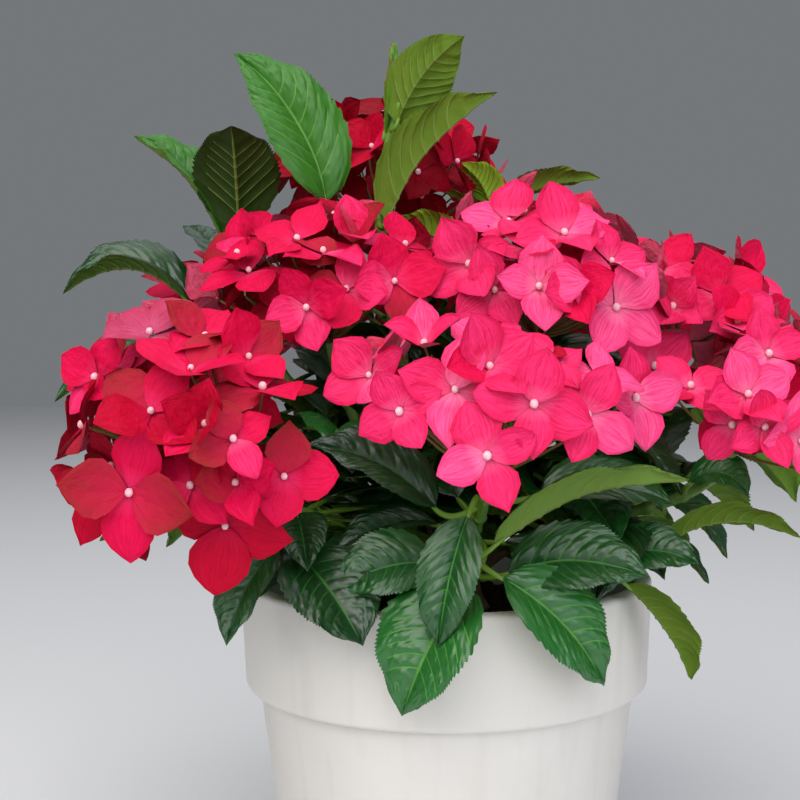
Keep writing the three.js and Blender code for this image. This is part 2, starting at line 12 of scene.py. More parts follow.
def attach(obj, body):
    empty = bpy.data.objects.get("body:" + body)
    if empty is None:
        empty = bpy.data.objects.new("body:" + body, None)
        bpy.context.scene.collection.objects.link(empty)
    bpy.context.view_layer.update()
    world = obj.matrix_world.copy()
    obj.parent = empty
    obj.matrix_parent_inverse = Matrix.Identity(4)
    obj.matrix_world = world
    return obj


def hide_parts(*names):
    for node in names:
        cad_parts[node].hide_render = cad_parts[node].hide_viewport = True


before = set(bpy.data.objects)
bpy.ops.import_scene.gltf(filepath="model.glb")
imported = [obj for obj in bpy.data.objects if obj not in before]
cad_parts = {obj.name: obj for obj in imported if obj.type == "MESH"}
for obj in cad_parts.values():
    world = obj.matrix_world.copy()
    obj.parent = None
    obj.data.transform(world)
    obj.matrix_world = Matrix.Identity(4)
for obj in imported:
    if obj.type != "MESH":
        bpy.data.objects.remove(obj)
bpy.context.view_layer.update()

# The pot
# A round plant pot, turned from pale clay and fired without glaze. Its deep rim band was left proud
# of the wall so that it can be lifted, and three drain holes are cut through its floor.

POT_HEIGHT = 0.180
BAND_FOOT = 0.128
BAND_FOOT_RADIUS = 0.0977
RIM_RADIUS = 0.100
WALL_TOP_RADIUS = 0.0912
POT_FOOT_RADIUS = 0.075
POT_WALL = 0.007
POT_FLOOR = 0.010
INNER_RIM = RIM_RADIUS - POT_WALL - 0.0015
INNER_FOOT = (
    POT_FOOT_RADIUS + (WALL_TOP_RADIUS - POT_FOOT_RADIUS) * POT_FLOOR / BAND_FOOT - POT_WALL
)
DRAIN_RADIUS = 0.006
DRAIN_RING = 0.038
POT_AROUND, DRAIN_AROUND = 144, 24

# Radius, height and the reach of the rounding at each corner of the pot's half section.
POT_CORNERS = [
    (0, 0, 0),
    (POT_FOOT_RADIUS, 0, 0.0022),
    (WALL_TOP_RADIUS, BAND_FOOT, 0.0012),
    (BAND_FOOT_RADIUS, BAND_FOOT, 0.0036),
    (RIM_RADIUS, POT_HEIGHT, 0.0030),
    (INNER_RIM, POT_HEIGHT, 0.0030),
    (INNER_RIM - 0.001, BAND_FOOT, 0.004),
    (INNER_FOOT, POT_FLOOR, 0.004),
    (0, POT_FLOOR, 0),
]


def linear(hex_colour):
    """An sRGB hex colour as the linear red, green, blue and alpha that a shader works with."""
    channels = np.array([int(hex_colour[i : i + 2], 16) for i in (1, 3, 5)]) / 255
    straight = np.where(channels <= 0.04045, channels / 12.92, ((channels + 0.055) / 1.055) ** 2.4)
    return (*straight.tolist(), 1.0)


def add_node(material, kind, settings=None, feeds=None, **links):
    """Adds a node to a material and gives its result, which is a Mix node's third output and the
    first of any other. settings holds its options and the values of its inputs by name or number,
    feeds names a socket of the shader that the result goes to, and links says which output feeds
    an input: i3=output feeds input number 3."""
    tree = material.node_tree
    node = tree.nodes.new("ShaderNode" + kind)
    for name, value in (settings or {}).items():
        if isinstance(name, int) or name in node.inputs:
            node.inputs[name].default_value = value
        else:
            setattr(node, name, value)
    for name, output in links.items():
        place = int(name[1:]) if name[1:].isdigit() else name.replace("_", " ")
        tree.links.new(output, node.inputs[place])
    result = node.outputs[2 if kind == "Mix" else 0]
    if feeds:
        tree.links.new(result, tree.nodes["Principled BSDF"].inputs[feeds])
    return result


def new_material(name, colour, **sockets):
    """A material whose base colour and other even values sit on the shader's own sockets."""
    material = bpy.data.materials.new(name)
    material.use_nodes = True
    shader = material.node_tree.nodes["Principled BSDF"]
    shader.inputs["Base Color"].default_value = linear(colour)
    for socket, value in sockets.items():
        shader.inputs[socket.replace("_", " ")].default_value = value
    return material


def mottled(material, place, waves, detail, low, high, feeds="Base Color", **settings):
    """Two colours mixed by a noise of that many waves to a metre. Gives noise and colour."""
    settings = {"Scale": waves, "Detail": detail, **settings}
    noise = add_node(material, "TexNoise", settings, Vector=place)
    colours = {"data_type": "RGBA", 6: linear(low), 7: linear(high)}
    return noise, add_node(material, "Mix", colours, feeds, i0=noise)


def laid_over(material, tone, colour, value, limits, shares, feeds=None):
    """A tone with a colour laid over it, by a share that runs evenly from the first of shares to
    the second while value runs from the first of limits to the second."""
    settings = dict(zip(("From Min", "From Max", "To Min", "To Max"), (*limits, *shares)))
    share = add_node(material, "MapRange", settings, Value=value)
    over = {"data_type": "RGBA", 7: linear(colour)}
    return add_node(material, "Mix", over, feeds, i0=share, i6=tone)


def rounded(corners, steps):
    """A half section with its corners rounded: each corner becomes a curve whose ends lie its reach
    away along both sides, weighted (1-t)(1-t), 2t(1-t) and tt between end, corner and end."""
    points = np.array([corner[:2] for corner in corners], float)
    reach = np.array([corner[2] for corner in corners], float)[1:-1, None]
    back, ahead = points[:-2] - points[1:-1], points[2:] - points[1:-1]
    start = points[1:-1] + back / np.linalg.norm(back, axis=1, keepdims=True) * reach
    end = points[1:-1] + ahead / np.linalg.norm(ahead, axis=1, keepdims=True) * reach
    t = np.linspace(0, 1, steps)[None, :, None]
    curve = (
        (1 - t) ** 2 * start[:, None] + 2 * t * (1 - t) * points[1:-1, None] + t**2 * end[:, None]
    )
    return np.concatenate([points[:1], curve.reshape(-1, 2), points[-1:]])


def turned(section, around):
    """A half section of radius and height carried round the vertical axis: x is the radius times
    the cosine of the angle, and y the radius times its sine."""
    angle = np.linspace(0, 2 * np.pi, around, endpoint=False)
    radius, height = section[:, 0, None], section[:, 1, None]
    return np.stack(
        [radius * np.cos(angle), radius * np.sin(angle), height + 0 * angle], axis=-1
    )


def round_faces(rows, around):
    """Triangles of a closed round shape: rings of around points, the first and the last ring each
    drawn to one point. Gives the triangles and the row of each."""
    ids = np.arange(rows * around).reshape(rows, around)
    ids[0], ids[-1] = ids[0, 0], ids[-1, 0]
    near, far = ids[:-1], ids[1:]
    corners = [near, np.roll(near, -1, 1), np.roll(far, -1, 1), far]
    quads = np.stack(corners, -1).reshape(-1, 4)
    row = np.repeat(np.arange(rows - 1), around)
    triangles = np.concatenate([quads[:, [0, 1, 2]], quads[:, [0, 2, 3]]])
    row = np.concatenate([row, row])
    a, b, c = triangles.T
    real = (a != b) & (b != c) & (a != c)
    return triangles[real], row[real]


def shape_of(points, triangles, which=0, uv=None, side=0):
    """One closed shape, ready to be joined to others: unused points dropped, and its faces turned
    outwards, which they are when the tetrahedra from a point to its faces add up to more than 0.
    which is each face's material, and an edge between faces of two sides is a sharp one."""
    points = np.asarray(points, float).reshape(-1, 3)
    used, triangles = np.unique(triangles, return_inverse=True)
    triangles = triangles.reshape(-1, 3)
    points = points[used]
    a, b, c = np.moveaxis((points - points.mean(0))[triangles], 1, 0)
    if np.einsum("ij,ij->", a, np.cross(b, c)) < 0:
        triangles = triangles[:, ::-1]
    which, side = np.broadcast_to(which, len(triangles)), np.broadcast_to(side, len(triangles))
    uv = np.zeros((len(points), 2)) if uv is None else np.asarray(uv).reshape(-1, 2)[used]
    return points, triangles, which, uv, side


def make_piece(name, shapes, materials, slot, *nodes):
    """Joins shapes into one mesh, each face with its material, that rides on the body and stands
    for the named CAD nodes."""
    counts = np.cumsum([0] + [len(shape[0]) for shape in shapes])
    points = np.concatenate([shape[0] for shape in shapes])
    triangles = np.concatenate([shape[1] + n for shape, n in zip(shapes, counts)])
    which = np.concatenate([shape[2] for shape in shapes])
    uv = np.concatenate([shape[3] for shape in shapes])
    mesh = bpy.data.meshes.new(name)
    mesh.vertices.add(len(points))
    mesh.vertices.foreach_set("co", points.astype(np.float32).ravel())
    mesh.loops.add(triangles.size)
    mesh.loops.foreach_set("vertex_index", triangles.astype(np.int32).ravel())
    mesh.polygons.add(len(triangles))
    mesh.polygons.foreach_set("loop_start", np.arange(0, triangles.size, 3, dtype=np.int32))
    mesh.update(calc_edges=True)
    for material in materials:
        mesh.materials.append(material)
    mesh.polygons.foreach_set("material_index", which.astype(np.int32))
    mesh.polygons.foreach_set("use_smooth", np.ones(len(triangles), bool))
    edges = np.zeros(triangles.size, np.int32)
    mesh.loops.foreach_get("edge_index", edges)
    sides = np.repeat(np.concatenate([shape[4] for shape in shapes]), 3)
    least, most = np.full(len(mesh.edges), 9), np.full(len(mesh.edges), -9)
    np.minimum.at(least, edges, sides)
    np.maximum.at(most, edges, sides)
    sharp = mesh.attributes.new("sharp_edge", "BOOLEAN", "EDGE")
    sharp.data.foreach_set("value", least != most)
    layer = mesh.uv_layers.new(name="UVMap")
    layer.data.foreach_set("uv", uv[triangles.ravel()].astype(np.float32).ravel())
    mesh.update()
    piece = bpy.data.objects.new(name, mesh)
    bpy.context.scene.collection.objects.link(piece)
    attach(piece, "root")
    if nodes:
        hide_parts(*nodes)
    return piece


# Pale clay fired without glaze: a chalky, nearly matt skin, a little uneven in tone where the kiln
# reached it, with fine grit and faint upright streaks from watering.
fired_clay = new_material("fired_pale_clay", "#e3e0db", Roughness=0.62, Specular_IOR_Level=0.35)
place = add_node(fired_clay, "TexCoord").node.outputs["Object"]
_, tone = mottled(fired_clay, place, 14.0, 3.0, "#e6e4e0", "#d9d6d0", None, Roughness=0.6)
upright = add_node(fired_clay, "Mapping", {"Scale": (90.0, 90.0, 7.0)}, Vector=place)
streak = add_node(fired_clay, "TexNoise", {"Scale": 1.0, "Detail": 2.0}, Vector=upright)
laid_over(fired_clay, tone, "#c4bfb6", streak, (0.52, 0.8), (0.0, 0.3), "Base Color")
# Grit of about 0.8 mm, drawn a little coarser than life.
grit = add_node(fired_clay, "TexNoise", {"Scale": 1200.0, "Detail": 2.0}, Vector=place)
add_node(fired_clay, "Bump", {"Strength": 0.25, "Distance": 0.0003}, "Normal", Height=grit)

pot_section = rounded(POT_CORNERS, 7)
pot_faces = round_faces(len(pot_section), POT_AROUND)[0]
pot_shape = shape_of(turned(pot_section, POT_AROUND), pot_faces)
pot = make_piece("pot_body", [pot_shape], [fired_clay], "fired_clay", "pot")

# Each drain hole is a round bar, 40 mm long, taken out of the floor.
drain_section = np.array(
    [(0, -0.01), (DRAIN_RADIUS, -0.01), (DRAIN_RADIUS, 0.03), (0, 0.03)], float
)
drain_bar, drain_faces = turned(drain_section, DRAIN_AROUND), round_faces(4, DRAIN_AROUND)[0]
drain_angle = np.radians(90 + 120 * np.arange(3))
drain_way = np.stack([np.cos(drain_angle), np.sin(drain_angle), 0 * drain_angle], -1)
drain_shapes = [shape_of(drain_bar + DRAIN_RING * way, drain_faces) for way in drain_way]
drains = make_piece("drain_cutter", drain_shapes, [fired_clay], "fired_clay")
cut = pot.modifiers.new("drains", "BOOLEAN")
cut.operation, cut.solver, cut.object = "DIFFERENCE", "EXACT", drains
whole = bpy.data.meshes.new_from_object(pot.evaluated_get(bpy.context.evaluated_depsgraph_get()))
pot.modifiers.remove(cut)
pot.data = whole
bpy.data.objects.remove(drains)

# The soil
# Dark peaty potting soil, filled to a finger's width below the rim: crumbly, with lumps lying loose
# on it.

SOIL_TOP, SOIL_FALL, SOIL_GAP = 0.162, 0.003, 0.0003
SOIL_AROUND = 132
CRUMBS = 420


def ripple(points, seed, waves, shortest, longest):
    """Smooth seeded unevenness from -1 to 1: the mean of sine waves that run in random directions
    through space, each with its own length between shortest and longest metres."""
    random = np.random.default_rng(seed)
    way = random.normal(size=(waves, 3))
    way /= np.linalg.norm(way, axis=1, keepdims=True)
    length = np.exp(random.uniform(np.log(shortest), np.log(longest), waves))
    turn = np.tensordot(points, (2 * np.pi * way / length[:, None]).T, 1)
    return np.sin(turn + random.uniform(0, 2 * np.pi, waves)).mean(-1)


# Peat and composted bark: matt and nearly black when damp, with lighter brown crumbs.
potting_soil = new_material("damp_peat_soil", "#2b2119", Roughness=0.95, Specular_IOR_Level=0.15)
place = add_node(potting_soil, "TexCoord").node.outputs["Object"]
crumb, _ = mottled(potting_soil, place, 420.0, 4.0, "#1b140e", "#4a3a2a")
add_node(potting_soil, "Bump", {"Strength": 0.8, "Distance": 0.001}, "Normal", Height=crumb)

across_soil = np.linspace(1, 0, 46)
inner_edge = INNER_RIM - 0.001 - SOIL_GAP
soil_under = np.array([
    (0, POT_FLOOR + SOIL_GAP),
    (INNER_FOOT - 0.0045, POT_FLOOR + SOIL_GAP),
    (inner_edge - 0.0005, BAND_FOOT),
])
soil_over = np.stack([inner_edge * across_soil, SOIL_TOP - SOIL_FALL * across_soil**2], -1)
soil_section = np.concatenate([soil_under, soil_over])
soil_grid = turned(soil_section, SOIL_AROUND)
# The top heaves by up to 4 mm, and the middle point is level with its own ring.
heave = ripple(soil_grid, 5, 24, 0.004, 0.02)
soil_grid[3:, :, 2] += 0.0045 * heave[3:] - 0.0012
soil_grid[-1, :, 2] = soil_grid[-1, 0, 2]
soil_shapes = [shape_of(soil_grid, round_faces(len(soil_section), SOIL_AROUND)[0])]

# Crumbs are rough balls from 1 to 4 mm across.
crumb_random = np.random.default_rng(11)
ball_faces = round_faces(5, 6)[0]
ball_turn = np.linspace(0, np.pi, 5)
ball = turned(np.stack([np.sin(ball_turn), -np.cos(ball_turn)], -1), 6)
for radius, angle, size in zip(
    np.sqrt(crumb_random.uniform(0.06, 1, CRUMBS)) * (inner_edge - 0.003),
    crumb_random.uniform(0, 2 * np.pi, CRUMBS),
    crumb_random.uniform(0.0006, 0.0021, CRUMBS),
):
    squash = size * crumb_random.uniform(0.6, 1.3, 3)
    level = SOIL_TOP - SOIL_FALL * (radius / inner_edge) ** 2 - 0.0008
    middle = np.array([radius * math.cos(angle), radius * math.sin(angle), level])
    soil_shapes.append(shape_of(ball * squash + middle, ball_faces))
make_piece("soil_fill", soil_shapes, [potting_soil], "potting_soil", "soil")

# The crown
# The short woody stool that the canes spring from, a few winters old: knuckled and buttressed, in
# grey-brown bark that peels in thin upright strips.

CROWN_FOOT = 0.1623
CROWN_HEIGHT = 0.026
CROWN_ROWS, CROWN_AROUND = 44, 72

share = np.linspace(0, 1, CROWN_ROWS)
crown_radius = np.interp(
    share, [0, 0.02, 0.25, 0.5, 0.8, 0.93, 1], [0, 0.022, 0.0182, 0.0172, 0.0188, 0.0155, 0]
)
crown_height = np.interp(share, [0, 0.02, 0.93, 1], [0, 0, 0.97, 1]) * CROWN_HEIGHT + CROWN_FOOT
crown_grid = turned(np.stack([crown_radius, crown_height], -1), CROWN_AROUND)
around = np.linspace(0, 2 * np.pi, CROWN_AROUND, endpoint=False)
buttress = 0.07 * np.sin(5 * around + 0.6) + 0.04 * np.sin(9 * around + 2)
strips = 0.02 * np.sin(31 * around + 3 * np.sin(4 * share[:, None]))
bulge = 1 - 0.08 + buttress * (1 - 0.5 * share[:, None]) + strips
crown_grid[..., :2] *= bulge[..., None]
rough = 0.0004 * ripple(crown_grid, 21, 20, 0.002, 0.007)
crown_grid += rough[..., None] * (crown_radius > 0)[:, None, None]
crown_grid[0, :, 2] = crown_grid[1, :, 2] = CROWN_FOOT

# Old hydrangea bark: dry, matt, grey-brown, furrowed along the stem where its strips part.
old_bark = new_material("peeling_bark", "#7a6850", Roughness=0.9, Specular_IOR_Level=0.2)
place = add_node(old_bark, "TexCoord").node.outputs["Object"]
fibre_way = add_node(old_bark, "Mapping", {"Scale": (1.0, 1.0, 0.18)}, Vector=place)
fibre, _ = mottled(old_bark, fibre_way, 620.0, 4.0, "#4d3f2f", "#a08d70", Roughness=0.65)
add_node(old_bark, "Bump", {"Strength": 0.7, "Distance": 0.0008}, "Normal", Height=fibre)

crown_shape = shape_of(crown_grid, round_faces(CROWN_ROWS, CROWN_AROUND)[0])
make_piece("crown_bark", [crown_shape], [old_bark], "bark", "crown")

# The canes
# Thirteen soft-wooded stems of this year, each out of the crown and over to a flower head or a
# leafy tip. They are round, green and smooth, browner at the foot, and swell where a pair of leaves
# sits.

CANE_FOOT_RADIUS, CANE_TIP_RADIUS = 0.0031, 0.0023
CANE_ROWS, CANE_AROUND = 90, 14
# Pairs of leaves sit at these shares of a cane, from the top down.
TOP_PAIR, PAIR_STEP = 0.88, 0.13

# foot is a cane's bearing round the crown in degrees and ring its distance from the crown's axis.
# phase is the bearing of the uppermost pair of leaves, and placed how many of the first pairs are
# set one by one. at is the middle of its head or its tip, radius the head's and 0 for a shoot, lean
# the way that the head faces, flat its depth over its radius, and spread how far from its axis in
# degrees florets reach. Lengths are in millimetres.
CANE_FIELDS = "name foot ring phase placed at radius lean flat spread".split()
CANE_TABLE = [
    ("left_front", 222, 14.5, 140, 1, (-101, -94, 253), 58, (-0.4, -0.5, 0.6), 0.95, 112),
    ("middle_left", 193, 6.5, 200, 0, (-57, -16, 313), 58, (-0.1, -0.3, 0.9), 0.74, 86),
    ("top_back", 118, 6.5, 60, 0, (-30, 68, 368), 62, (0, 0.1, 1), 0.74, 88),
    ("upper_right", 330, 6.5, 20, 0, (46, -20, 314), 57, (0.1, -0.3, 0.9), 0.78, 88),
    ("right", 12, 14.5, 70, 1, (121, 12, 303), 43, (0.4, -0.2, 0.85), 0.78, 86),
    ("right_front", 336, 14.5, 15, 3, (140, -38, 260), 56, (0.3, -0.3, 0.8), 0.74, 86),
    ("front", 282, 14.5, 200, 2, (19, -96, 258), 66, (0.05, -0.35, 0.9), 0.7, 86),
    ("back_left", 150, 14.5, 110, 0, (-126, 92, 282), 57, (-0.5, 0.4, 0.75), 0.85, 95),
    ("back_right", 46, 14.5, 60, 0, (104, 100, 292), 58, (0.4, 0.45, 0.75), 0.85, 95),
    ("back", 102, 14.5, 10, 0, (-14, 138, 276), 57, (0, 0.6, 0.75), 0.85, 98),
    ("top_shoot", 42, 6.5, 185, 2, (-22, -4, 402), 0, (0.4, -0.25, 1), 1, 0),
    ("left_shoot", 186, 14.5, 100, 1, (-104, 28, 336), 0, (-0.1, -0.1, 1), 1, 0),
    ("middle_shoot", 74, 14.5, 0, 1, (28, 42, 352), 0, (0, 0, 1), 1, 0),
]
CANES = [dict(zip(CANE_FIELDS, row)) for row in CANE_TABLE]


def unit(vectors):
    """Vectors brought to length 1."""
    return vectors / np.linalg.norm(vectors, axis=-1, keepdims=True)


def bezier(controls, t):
    """Points of a curve at shares t: the sum of its control points, each times the number of ways
    to choose its place, t to that place and 1-t to the places left."""
    t = np.asarray(t, float)[..., None]
    last = len(controls) - 1
    return sum(
        math.comb(last, k) * t**k * (1 - t) ** (last - k) * controls[k] for k in range(last + 1)
    )


def bezier_way(controls, t):
    """The way a curve runs at shares t: the curve of its control points' steps, at length 1."""
    return unit(bezier(np.diff(np.array(controls), axis=0), t))


def bearing(degrees):
    """A level direction, its angle counted from +X towards +Y."""
    return np.array([math.cos(math.radians(degrees)), math.sin(math.radians(degrees)), 0])


for index, cane in enumerate(CANES):
    cane["index"] = index
    cane["lean"] = unit(np.array(cane["lean"], float))
    cane["at"], cane["radius"] = np.array(cane["at"]) / 1000, cane["radius"] / 1000
    foot = bearing(cane["foot"]) * cane["ring"] / 1000
    foot[2] = CROWN_FOOT + 0.6 * CROWN_HEIGHT
    end = cane["at"] - 0.35 * cane["radius"] * cane["lean"]
    span = np.linalg.norm(end - foot)
    early = foot + np.array([0, 0, 0.3 * span]) + 0.25 * (end - foot) * (1, 1, 0)
    cane["curve"] = np.array([foot, early, end - 0.35 * span * cane["lean"], end])


def carried(path, radius, side, around):
    """A round section carried along a path: at each point of the path a ring of that radius,
    spanned by the direction square to the path and to side, and by the direction square to both."""
    way = unit(np.gradient(path, axis=-2))
    across = unit(np.cross(np.broadcast_to(side, way.shape), way))
    angle = np.linspace(0, 2 * np.pi, around, endpoint=False)[:, None]
    square = np.cross(across, way)
    ring = np.cos(angle) * across[..., None, :] + np.sin(angle) * square[..., None, :]
    return path[..., None, :] + np.asarray(radius)[..., None, None] * ring


# This year's cane: smooth, juicy green skin with a slight wax gloss, dotted with fine pale
# breathing pores and faintly ribbed along its length.
green_cane = new_material("green_cane_skin", "#5f8a38", Roughness=0.42, Specular_IOR_Level=0.45)
place = add_node(green_cane, "TexCoord").node.outputs["Object"]
length_way = add_node(green_cane, "Mapping", {"Scale": (1.0, 1.0, 0.25)}, Vector=place)
_, tone = mottled(green_cane, length_way, 160.0, 2.0, "#48752b", "#79a448", None)
pores = add_node(green_cane, "TexNoise", {"Scale": 900.0, "Detail": 1.0}, Vector=length_way)
laid_over(green_cane, tone, "#b5b48a", pores, (0.66, 0.74), (0.0, 0.55), "Base Color")
add_node(green_cane, "Bump", {"Strength": 0.3, "Distance": 0.0003}, "Normal", Height=pores)

cane_shapes = []
along = np.concatenate([[0], np.linspace(0, 1, CANE_ROWS - 2), [1]])
joints = TOP_PAIR - PAIR_STEP * np.arange(5)
for cane in CANES:
    path = bezier(cane["curve"], along)
    path[0] = path[1] - 1e-5 * bezier_way(cane["curve"], 0.0)
    path[-1] = path[-2] + 1e-5 * bezier_way(cane["curve"], 1.0)
    swelling = 0.32 * np.exp(-(((along[:, None] - joints) / 0.012) ** 2)).sum(1)
    radius = (CANE_FOOT_RADIUS + (CANE_TIP_RADIUS - CANE_FOOT_RADIUS) * along) * (1 + swelling)
    radius[[0, -1]] = 0
    run = cane["curve"][3] - cane["curve"][0]
    grid = carried(path, radius, unit(np.array([-run[1], run[0], 1e-6])), CANE_AROUND)
    triangles, row = round_faces(CANE_ROWS, CANE_AROUND)
    # The lowest part of a cane has bark.
    cane_shapes.append(shape_of(grid, triangles, np.where(along[row] < 0.16, 1, 0)))
cane_names = [f"cane_{cane['name']}" for cane in CANES]
make_piece("canes", cane_shapes, [green_cane, old_bark], "green_cane", *cane_names)

# The leaves
# Broad oval leaves in crossed pairs on short stalks: leathery, glossy and dark above with sunken
# veins that quilt the blade, matt and pale below with the veins standing proud, toothed all round.

PETIOLE = 0.024
BLADE_WIDE, BLADE_FOLD, BLADE_ARCH = 0.58, 16, 0.1
BASE_BULGE, TIP_TAPER = 0.55, 1.15

# Leaves set one by one: the cane, the share of it that the stalk springs from, base and tip of the
# blade in millimetres, its roll about its length and its fold in degrees, width and arch over
# length, and the colour of the side that shows.
LEAF_FIELDS = "cane at base tip roll fold wide arch tone".split()
PLACED_LEAVES = [
    ("top_shoot", 0.8, (-57, 2, 361), (-102, 4, 434), -62, 16, 0.5, 0.1, "bright"),
    ("top_shoot", 0.8, (-28, -9, 351), (25, -26, 409), -14, 52, 0.42, 0.1, "olive"),
    ("top_shoot", 0.97, (-22, -9, 397), (10, -20, 436), -70, 16, 0.62, 0.1, "olive"),
    ("top_shoot", 0.97, (-28, 0, 392), (-24, 15, 441), 72, 16, 0.4, 0.1, "young"),
    ("left_shoot", 0.97, (-110, 18, 343), (-154, 16, 396), -40, 35, 0.5, 0.1, "bright"),
    # This leaf hangs in shadow and has the shade tone: painted shade.
    ("left_shoot", 0.97, (-101, 8, 348), (-98, -32, 394), 0, 16, 0.72, 0.1, "shade"),
    ("left_shoot", 0.75, (-130, 30, 314), (-194, 26, 318), -20, 35, 0.58, 0.24, "deep"),
    ("middle_shoot", 0.95, (30, 36, 364), (78, 24, 374), -20, 16, 0.5, 0.05, "bright"),
    ("middle_shoot", 0.95, (22, 44, 350), (-2, 34, 370), 0, 16, 0.6, 0.1, "young"),
    ("front", 0.88, (-4, -86, 224), (-58, -92, 252), -40, 16, 0.55, 0.1, "deep"),
    ("front", 0.88, (42, -72, 228), (102, -62, 221), 30, 16, 0.58, 0.1, "dark"),
    ("front", 0.7, (9, -113, 224), (-3, -124, 172), 0, 16, 0.5, 0.1, "dark"),
    ("front", 0.55, (-5, -92, 201), (-46, -102, 191), -45, 16, 0.75, 0.1, "dark"),
    ("front", 0.5, (9, -106, 194), (-18, -120, 143), 10, 16, 0.85, 0.1, "middle"),
    ("front", 0.5, (24, -104, 197), (67, -96, 149), 15, 16, 0.62, 0.1, "middle"),
    ("front", 0.65, (20, -104, 211), (102, -100, 237), -12, 30, 0.3, 0.1, "pale"),
    ("front", 0.4, (27, -86, 196), (86, -98, 196), 45, 16, 0.62, 0.1, "dark"),
    ("left_front", 0.5, (-62, -90, 204), (-34, -112, 170), -8, 16, 0.95, 0.1, "deep"),
    ("left_front", 0.6, (-74, -80, 206), (-92, -104, 168), 0, 16, 0.58, 0.1, "dark"),
    ("left_front", 0.85, (-104, -64, 214), (-158, -52, 204), 0, 16, 0.58, 0.1, "deep"),
    ("right_front", 0.35, (74, -58, 199), (112, -66, 196), 40, 16, 0.7, 0.1, "dark"),
    ("right_front", 0.4, (80, -70, 188), (109, -66, 144), -60, 30, 0.55, 0.1, "olive"),
    ("right_front", 0.55, (99, -45, 202), (159, -56, 206), -30, 16, 0.4, 0.15, "olive"),
    ("right_front", 0.75, (114, -30, 228), (139, -40, 222), 30, 16, 0.9, 0.3, "middle"),
    ("right", 0.4, (96, 2, 221), (136, -8, 188), 10, 16, 0.75, 0.1, "dark"),
]
# Young leaves that show between the upper heads, in the lit tone: painted light, as if light shone
# through them.
YOUNG_LEAVES = [
    ("middle_shoot", 0.8, (8, 30, 334), (-27, 6, 352), 30, 16, 0.6, 0.1, "lit"),
    ("middle_shoot", 0.95, (24, 36, 362), (9, 24, 382), 20, 16, 0.8, 0.1, "lit"),
]
# Low leaves in the middle of the plant, in the deep tone: painted shade of the plant's inside.
LOW_LEAVES = [
    ("back", 0.3, (8, 50, 200), (86, 76, 199), 62, 16, 0.55, 0.1, "deep"),
    ("back_left", 0.3, (-20, 36, 201), (-74, 50, 189), -62, 16, 0.55, 0.1, "deep"),
    ("top_back", 0.2, (7, 31, 201), (-44, 26, 195), -66, 16, 0.6, 0.1, "deep"),
]


def leaf_frame(leaf, u):
    """Places along a leaf and the directions to its side and out of its upper face there. u runs
    from 0 at the blade's base to 1 at its tip and from -1 to 0 along the stalk. Blade and stalk are
    each a curve of three control points, and the side direction is turned about it by the roll."""
    root, base, tip = leaf["root"], leaf["base"], leaf["tip"]
    chord = tip - base
    straight = unit(chord)
    heading = unit((tip - root) * (1, 1, 0))
    level = np.array([-heading[1], heading[0], 0])
    flat = unit(level - level @ straight * straight)
    middle = (base + tip) / 2 + np.cross(straight, flat) * 2 * leaf["arch"] * np.linalg.norm(chord)
    knee = base - unit(middle - base) * 0.5 * np.linalg.norm(base - root)
    u = np.asarray(u, float)
    blade, stalk = [base, middle, tip], [root, knee, base]
    on_blade = (u >= 0)[..., None]
    t_blade, t_stalk = np.clip(u, 0, 1), np.clip(u + 1, 0, 1)
    point = np.where(on_blade, bezier(blade, t_blade), bezier(stalk, t_stalk))
    way = np.where(on_blade, bezier_way(blade, t_blade), bezier_way(stalk, t_stalk))
    side = unit(flat - (way @ flat)[..., None] * way)
    roll = math.radians(leaf["roll"])
    side = side * math.cos(roll) + np.cross(way, side) * math.sin(roll)
    return point, side, np.cross(way, side)


def blade_width(u):
    """Half width of a blade as a share of the widest: u over the widest place to the power of the
    bulge, times what is left of the length over its share there to the power of the taper."""
    widest = BASE_BULGE / (BASE_BULGE + TIP_TAPER)
    return (u / widest) ** BASE_BULGE * ((1 - u) / (1 - widest)) ** TIP_TAPER


def blade_points(leaf, u, v, width=blade_width):
    """Points on a blade: from its middle line out by v half widths along the side direction, and up
    by the fold, with the direction out of its upper face there."""
    point, side, upper = leaf_frame(leaf, u)
    half = 0.5 * leaf["wide"] * np.linalg.norm(leaf["base"] - leaf["tip"]) * width(u)
    reach = (half * v)[..., None]
    fold = math.radians(leaf["fold"])
    place = point + side * reach * math.cos(fold) + upper * np.abs(reach) * math.sin(fold)
    return place, upper


# Where there is room for leaves, in metres.
REACH, TOP, LOW = 0.205, 0.452, 0.178
POT_REACH, POT_TOP = RIM_RADIUS + 0.005, POT_HEIGHT + 0.004
LEAF_ROOM, SMALL_LEAF_ROOM = 0.005, 0.0032
HEADS = [cane for cane in CANES if cane["radius"]]
head_at = np.array([cane["at"] for cane in HEADS])
head_lean = np.array([cane["lean"] for cane in HEADS])
head_radius = np.array([cane["radius"] for cane in HEADS])
head_edge = np.cos(np.radians([cane["spread"] + 14 for cane in HEADS]))
cane_feelers = [bezier(cane["curve"], np.linspace(0, 1, 21)) for cane in CANES]
FEEL_U = np.concatenate([[-0.5, -0.2], np.repeat([0.1, 0.25, 0.4, 0.55, 0.7, 0.85, 1], 5)])
FEEL_V = np.concatenate([[0, 0], np.tile([-1, -0.5, 0, 0.5, 1], 7)])
# The first of those lie so near the stalk's foot that they may touch the leaf's own cane.
NEAR_FOOT = 12


def feelers(leaf):
    """Sample points of a leaf, for keeping leaves apart."""
    blade, stalk = blade_points(leaf, np.maximum(FEEL_U, 0), FEEL_V)[0], leaf_frame(leaf, FEEL_U)[0]
    return blade * (FEEL_U >= 0)[:, None] + stalk * (FEEL_U < 0)[:, None]


